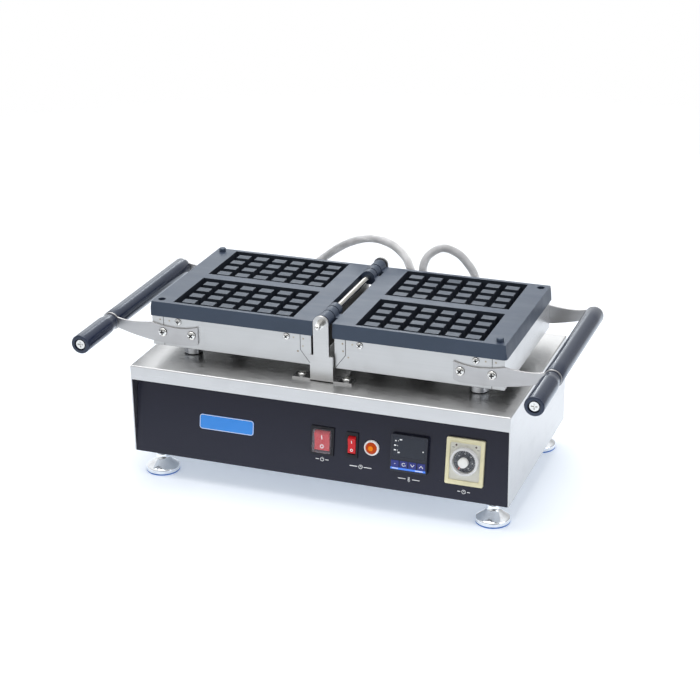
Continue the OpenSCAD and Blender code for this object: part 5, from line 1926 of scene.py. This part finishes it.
@dataclass
class Controls(Part):
    """Switches, lamp, temperature controller and timer on the leaning panel."""

    power_x: float = 8.0
    power_w: float = 31.0
    power_h: float = 37.0
    alarm_x: float = 48.0
    alarm_h: float = 33.0
    tip: float = 16.0
    bezel: float = 2.2
    lamp_x: float = 74.0
    lamp_r: float = 10.0
    box_x: float = 124.5
    box_w: float = 48.0
    box_t: float = 6.0
    key_drop: float = 13.9
    crown: float = 6.0
    key_travel: float = 0.5
    timer_x: float = 196.5
    frame_t: float = 4.0
    knob_r: float = 18.25
    knob_up: float = 1.2
    ink: Pair = (-0.02, 0.05)
    rocker_ink: Pair = (-0.02, 0.06)

    def build(self) -> None:
        """Build all the controls."""
        self.switches()
        self.cover()
        self.lamp()
        self.controller()
        self.timer()
        self.pictures()

    def rocker_marks(self, name: str, body: str, x: float, reach: float, size: float) -> None:
        """A bar on a rocker's upper flat and a ring on its lower one.

        Args:
            name: The piece's name.
            body: The rocker's body.
            x: Place across the panel.
            reach: The rocker's half height.
            size: Height of a mark.
        """
        half = self.tip / 2
        pin = self.lay.panel(x, self.lay.row_h) @ shift(0, 0, -3) @ tilt(half)
        shape = bmesh.new()
        for way in (1, -1):
            flat = pin @ shift(0, 0, self.crown) @ tilt(way * half) @ shift(0, way * reach * 0.47, 0)
            if way > 0:
                stroke(shape, [(0, -size / 2), (0, size / 2)], size * 0.24, *self.rocker_ink, flat)
            else:
                frame_strip(shape, ring(size * 0.52), ring(size * 0.28), *self.rocker_ink, flat)
        self.marks(name, shape, INK_WHITE, body)

    def switches(self) -> None:
        """Black switch bodies with red rockers."""
        for node in ("power_switch", "alarm_switch"):
            self.shop.soften(node, SWITCH_BLACK, 0.5, 2)
        for node in ("power_rocker", "alarm_rocker"):
            self.shop.soften(node, ROCKER_RED, 0.4, 2)
        self.rocker_marks("power_rocker_marks", "power_rocker", self.power_x, (self.power_h - 10) / 2, 5.2)
        self.rocker_marks("alarm_rocker_marks", "alarm_rocker", self.alarm_x, (self.alarm_h - 9) / 2, 3.6)

    def cover(self) -> None:
        """Clear splash cover over the power rocker, with a thick rim and a crowned face."""
        place = self.lay.panel(self.power_x, self.lay.row_h, self.bezel)
        w, h = self.power_w - 6, self.power_h - 6
        shape = bmesh.new()
        outer = [
            (w, h, 2.4, 0.0), (w, h, 2.4, 3.6), (w - 0.5, h - 0.5, 2.3, 4.4), (w - 1.6, h - 1.6, 2.0, 4.95),
            (w - 5.0, h - 5.0, 1.4, 5.25), (w - 10.0, h - 10.0, 1.0, 5.4),
        ]
        inner = [
            (w - 1.6, h - 1.6, 1.8, 0.0), (w - 1.6, h - 1.6, 1.8, 3.6), (w - 2.4, h - 2.4, 1.6, 4.1),
            (w - 5.6, h - 5.6, 1.2, 4.45), (w - 10.6, h - 10.6, 0.8, 4.6),
        ]
        plate_stack(shape, outer, place, 5, bottom=False)
        plate_stack(shape, inner[::-1], place, 5, bottom=True, top=False)
        edge = [
            [shape.verts.new(place @ mm(x, y, 0)) for x, y in line]
            for line in (round_box(w, h, 2.4, 5), round_box(w - 1.6, h - 1.6, 1.8, 5))
        ]
        for a, b, c, d in zip(edge[0], edge[0][1:] + edge[0][:1], edge[1][1:] + edge[1][:1], edge[1]):
            shape.faces.new((a, d, c, b))
        bmesh.ops.remove_doubles(shape, verts=shape.verts, dist=1e-6)
        self.shop.stand_in(from_bmesh("clear_cover", shape, self.mat(COVER_CLEAR)), "power_boot")

    def lamp(self) -> None:
        """Amber lens in a white ring."""
        lay, r = self.lay, self.lamp_r
        place = lay.panel(self.lamp_x, lay.row_h)
        at, axis = tuple(v / MM for v in place.translation), lay.normal()
        rim = [
            (0, -16), (r * 0.6, -16), (r * 0.6, 0), (r - 0.3, 0), (r, 0.4), (r, 1.8), (r - 0.5, 3.1), (r - 1.3, 3.9),
            (r - 1.9, 3.9), (r * 0.76 + 0.1, 3.2), (r * 0.76 + 0.1, 1.4), (0, 1.4),
        ]
        self.shop.stand_in(lathe("lamp_ring", rim, self.mat(LAMP_WHITE), at, axis, 64), "lamp_bezel")
        edge = r * 0.76
        dome = [
            (edge * math.sin(a), 1.5 + 4.7 * math.cos(a) + 0.16 * math.cos(a * 24))
            for a in (math.pi / 2 * k / 36 for k in range(37))
        ]
        lens = lathe("lamp_glass", [*dome, (edge, 1.42), (0, 1.42)], self.mat(LAMP_AMBER), at, axis, 48)
        paint_where(
            lens, self.mat(LAMP_CORE),
            lambda f: (f.center - place.translation).cross(Vector(axis)).length < 0.42 * edge * MM,
        )
        self.shop.stand_in(lens, "lamp_lens")

    def controller(self) -> None:
        """Black controller with a dark window, pale signs and four blue keys."""
        lay = self.lay
        self.shop.soften("controller_case", CASE_BLACK, 0.5, 2)
        self.shop.dress("controller_window", WINDOW_BLACK)
        face = lay.panel(self.box_x, lay.row_h)
        pitch = (self.box_w - 2) / 4
        top = self.box_t + 0.2 + self.key_travel
        for index, node in enumerate(("set_key", "shift_key", "down_key", "up_key")):
            self.shop.soften(node, KEY_BLUE, 0.3, 2)
            sign = bmesh.new()
            place = face @ shift((index - 1.5) * pitch, -self.key_drop, top)
            lines = {
                0: [[(-0.4, 0.0), (0.4, 0.0)]],
                1: [arc(1.9, 40, 320), [(1.45, -1.2), (2.9, -1.1)]],
                2: [[(-2.3, 1.4), (0, -1.4), (2.3, 1.4)]],
                3: [[(-2.3, -1.4), (0, 1.4), (2.3, -1.4)]],
            }[index]
            for line in lines:
                stroke(sign, line, 0.72, *self.ink, place)
            self.marks(f"{node}_sign", sign, INK_WHITE, node)
        under, shine = bmesh.new(), bmesh.new()
        prism(under, rectangle(-22.9, -21.2, 22.9, -18.7), self.box_t - 0.02, self.box_t + 0.1, face)
        self.marks("key_underline", under, LINE_BLUE, "base")
        # Painted highlight: two white strips on the blue line stand for its shine.
        for low, high in ((-21.0, -13.0), (9.5, 19.5)):
            prism(shine, rectangle(low, -20.4, high, -19.5), self.box_t + 0.1, self.box_t + 0.13, face)
        self.marks("key_underline_marks", shine, INK_WHITE, "base")
        signs = bmesh.new()
        rows = (
            (-17.6, 15.6, 1.8), (-11.0, 17.6, 3.2), (-18.2, 9.6, 2.8), (-18.2, 3.6, 2.8), (-13.2, 0.9, 3.0),
            (18.6, 5.6, 1.7),
        )
        for x, y, length in rows:
            prism(
                signs, rectangle(x - length / 2, y - 0.75, x + length / 2, y + 0.75), self.box_t - 0.22,
                self.box_t - 0.12, face,
            )
        for x, y in ((-14.4, 15.8), (-15.0, 9.4), (-15.0, 3.6)):
            prism(signs, [(x + a, y + b) for a, b in ring(0.5, 12)], self.box_t - 0.22, self.box_t - 0.12, face)
        self.marks("controller_signs", signs, INK_WHITE, "base")

    def dial_marks(self, place: Matrix) -> None:
        """Ticks and plain numbers round the timer's dial, in the dial's own frame."""
        tick = bmesh.new()
        prism(tick, rectangle(-0.16, -0.75, 0.16, 0.75), 0.0, 0.05, Matrix.Identity(4))
        mark = from_bmesh("tick", tick, bpy.data.materials.new("prototype"))
        bits = []
        for k in range(31):
            angle = math.radians(240 - 300 * k / 30)
            copy = mark.data.copy()
            length = 1.0 if k % 5 == 0 else 0.6
            turned = place @ Matrix.Rotation(angle - math.pi / 2, 4, "Z")
            copy.transform(turned @ shift(0, 13.3 - 0.75 * length, 0) @ Matrix.Diagonal((1.1, length, 1, 1)))
            bits.append(new_piece(f"tick_{k}", copy))
        bpy.data.objects.remove(mark)
        for k in range(7):
            angle = math.radians(240 - 50 * k)
            text = bpy.data.curves.new(f"number_{k}", "FONT")
            text.body, text.size, text.extrude = str(k * 5), 2.5 * MM, 0.02 * MM
            text.align_x, text.align_y = "CENTER", "CENTER"
            carrier = new_piece(f"number_{k}", text)
            bpy.context.view_layer.update()
            mesh = bpy.data.meshes.new_from_object(carrier.evaluated_get(bpy.context.evaluated_depsgraph_get()))
            bpy.data.objects.remove(carrier)
            mesh.transform(place @ shift(*polar(9.9, angle), 0.03))
            bits.append(new_piece(f"number_mesh_{k}", mesh))
        for bit in bits:
            finish_mesh(bit.data, self.mat(INK_WHITE))
        self.shop.attach(join("dial_marks", bits), "base")

    def timer(self) -> None:
        """Cream timer with a grey face, a dark dial and a clear knob."""
        lay, t = self.lay, self.frame_t
        self.shop.soften("timer_case", CREAM, 0.7, 3)
        self.shop.dress("timer_dial", DIAL_BLACK)
        front = lay.panel(self.timer_x, lay.row_h)
        middle = lay.panel(self.timer_x, lay.row_h + self.knob_up)
        shape = bmesh.new()
        frame_strip(
            shape, [(x * 19.7, y * 24.2) for x, y in self.square(16)],
            [(15.0 * a, 15.0 * b + self.knob_up) for a, b in self.circle(16)], t - 1.38, t - 1.2, front,
        )
        self.marks("timer_face", shape, FACE_GREY, "base")
        ledge = bmesh.new()
        frame_strip(ledge, round_box(41.4, 50.4, 1.8, 5), round_box(39.6, 48.6, 1.4, 5), t - 0.02, t + 0.35, front)
        self.marks("timer_ledge", ledge, CREAM, "base")
        lamps = bmesh.new()
        for x in (-12.0, 13.4):
            prism(lamps, [(x + a, 20.6 + b) for a, b in ring(1.5, 4)], t - 1.22, t - 0.9, front)
        self.marks("timer_lamps", lamps, INK_MAROON, "base")
        notes = bmesh.new()
        for x, y, length in ((-15.6, 17.4, 3.0), (16.4, 17.0, 3.0)):
            prism(notes, rectangle(x - length / 2, y - 0.3, x + length / 2, y + 0.3), t - 1.22, t - 1.12, front)
        self.marks("timer_notes", notes, INK_DARK, "base")
        self.dial_marks(middle @ shift(0, 0, t - 0.4))
        self.knob(middle)

    @staticmethod
    def square(count: int) -> list[Pair]:
        """Points round a square of half width 1, with count on each quarter."""
        out = []
        for k in range(4 * count):
            angle = 2 * math.pi * (k + 0.5) / (4 * count)
            reach = 1 / max(abs(math.cos(angle)), abs(math.sin(angle)))
            out.append(polar(reach, angle))
        return out

    @staticmethod
    def circle(count: int) -> list[Pair]:
        """Points round a circle of radius 1, in step with those of the square."""
        return [polar(1, 2 * math.pi * (k + 0.5) / (4 * count)) for k in range(4 * count)]

    def knob(self, middle: Matrix) -> None:
        """Clear knob with a rim, a white hub, a spindle and a red pointer, on a frame at its axis."""
        lay, t, r = self.lay, self.frame_t, self.knob_r
        at, axis = tuple(v / MM for v in middle.translation), lay.normal()
        z = t - 1.4
        rim = [
            (r - 3.3, z + 0.5), (r - 0.4, z + 0.3), (r, z + 0.8), (r, z + 4.6), (r - 0.5, z + 5.7),
            (r - 1.4, z + 6.3), (r - 2.4, z + 6.4), (r - 3.3, z + 6.0),
        ]
        clear = lathe("knob_rim", rim, self.mat(KNOB_CLEAR), at, axis, 96, closed=True)
        disc = lathe(
            "knob_disc", [(6.2, z + 5.2), (r - 3.3, z + 5.2), (r - 3.3, z + 5.9), (6.2, z + 5.9)],
            self.mat(DISC_CLEAR), at, axis, 96, closed=True,
        )
        hub = lathe(
            "knob_hub",
            [
                (0, z - 12), (3, z - 12), (3, z + 4.9), (6.2, z + 5.1), (6.3, z + 6.4), (6.3, z + 10.4),
                (5.9, z + 11.1), (5.1, z + 11.38), (0, z + 11.38),
            ],
            self.mat(HUB_WHITE), at, axis, 64,
        )
        line, angle = bmesh.new(), math.radians(236)
        stroke(line, [polar(6.6, angle), polar(11.6, angle)], 1.1, z + 4.95, z + 5.15, middle)
        pointer = from_bmesh("knob_pointer", line, self.mat(INK_RED))
        self.shop.stand_in(join("timer_handwheel", (clear, disc, hub, pointer)), "timer_knob")

    def pictures(self) -> None:
        """Plain signs printed below the controls: power, clock, thermometer and clock."""
        lay, shape = self.lay, bmesh.new()
        power = lay.panel(self.power_x, 26.0)
        stroke(shape, arc(2.3, 120, 420, 20), 0.7, *self.ink, power)
        stroke(shape, [(0, 0.4), (0, 3.0)], 0.7, *self.ink, power)
        clocks = [lay.panel(x, h) for x, h in ((60.0, 23.6), (self.timer_x, 11.6))]
        for clock in clocks:
            stroke(shape, arc(2.4, 0, 360, 24), 0.65, *self.ink, clock)
            stroke(shape, [(0, 1.5), (0, 0), (1.1, 0)], 0.55, *self.ink, clock)
        warm = lay.panel(self.box_x, 17.0)
        stroke(shape, arc(1.3, 125, 415, 16, (0, -1.6)), 0.6, *self.ink, warm)
        stroke(shape, [(-0.8, -0.5), (-0.8, 2.5), (0.8, 2.5), (0.8, -0.5)], 0.6, *self.ink, warm)
        stroke(shape, [(0, -1.6), (0, 1.0)], 0.6, *self.ink, warm)
        for place, reach in ((power, 8.5), (clocks[0], 14.5), (clocks[1], 8.0), (warm, 14.0)):
            for way in (-1, 1):
                stroke(shape, [(way * 4.6, 0), (way * reach, 0)], 0.9, *self.ink, place)
        self.marks("panel_signs", shape, INK_WHITE, "base")


# ---- assembly

LEFT_ROUTE: tuple[Point, ...] = (
    (-120, 156, 202), (-104, 163, 216), (-66, 158, 244), (-28, 151, 259), (4, 144, 257), (27, 136, 245),
    (38, 131, 228), (45, 128, 204),
)
RIGHT_ROUTE: tuple[Point, ...] = (
    (123, 156, 202), (119, 163, 217), (111, 160, 233), (98, 153, 250), (78, 146, 258), (60, 138, 247), (55, 132, 228),
    (63, 128, 205),
)


def main() -> None:
    """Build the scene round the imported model."""
    logging.basicConfig(level=logging.INFO, format="%(name)s: %(message)s")
    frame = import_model()
    bodies = {node: name for name, nodes in frame["record"]["behaviour"]["bodies"].items() for node in nodes}
    shop, lay = Workshop(Finishes(), frame["nodes"], bodies), Layout()
    Stage().build()
    for conduit in (
        Conduit(shop, lay, side=Side.LEFT, route=LEFT_ROUTE),
        Conduit(shop, lay, side=Side.RIGHT, base_x=71.0, route=RIGHT_ROUTE),
    ):
        conduit.build()
    Casework(shop, lay).build()
    Hinge(shop, lay).build()
    for side in Side:
        Iron(shop, lay, side=side).build()
    for corner in ("fl", "fr", "rl", "rr"):
        Foot(shop, lay, corner=corner).build()
    shop.dress("foot_lock_nuts", SCREW_STEEL, 28)
    Controls(shop, lay).build()


if __name__ == "__main__":
    main()
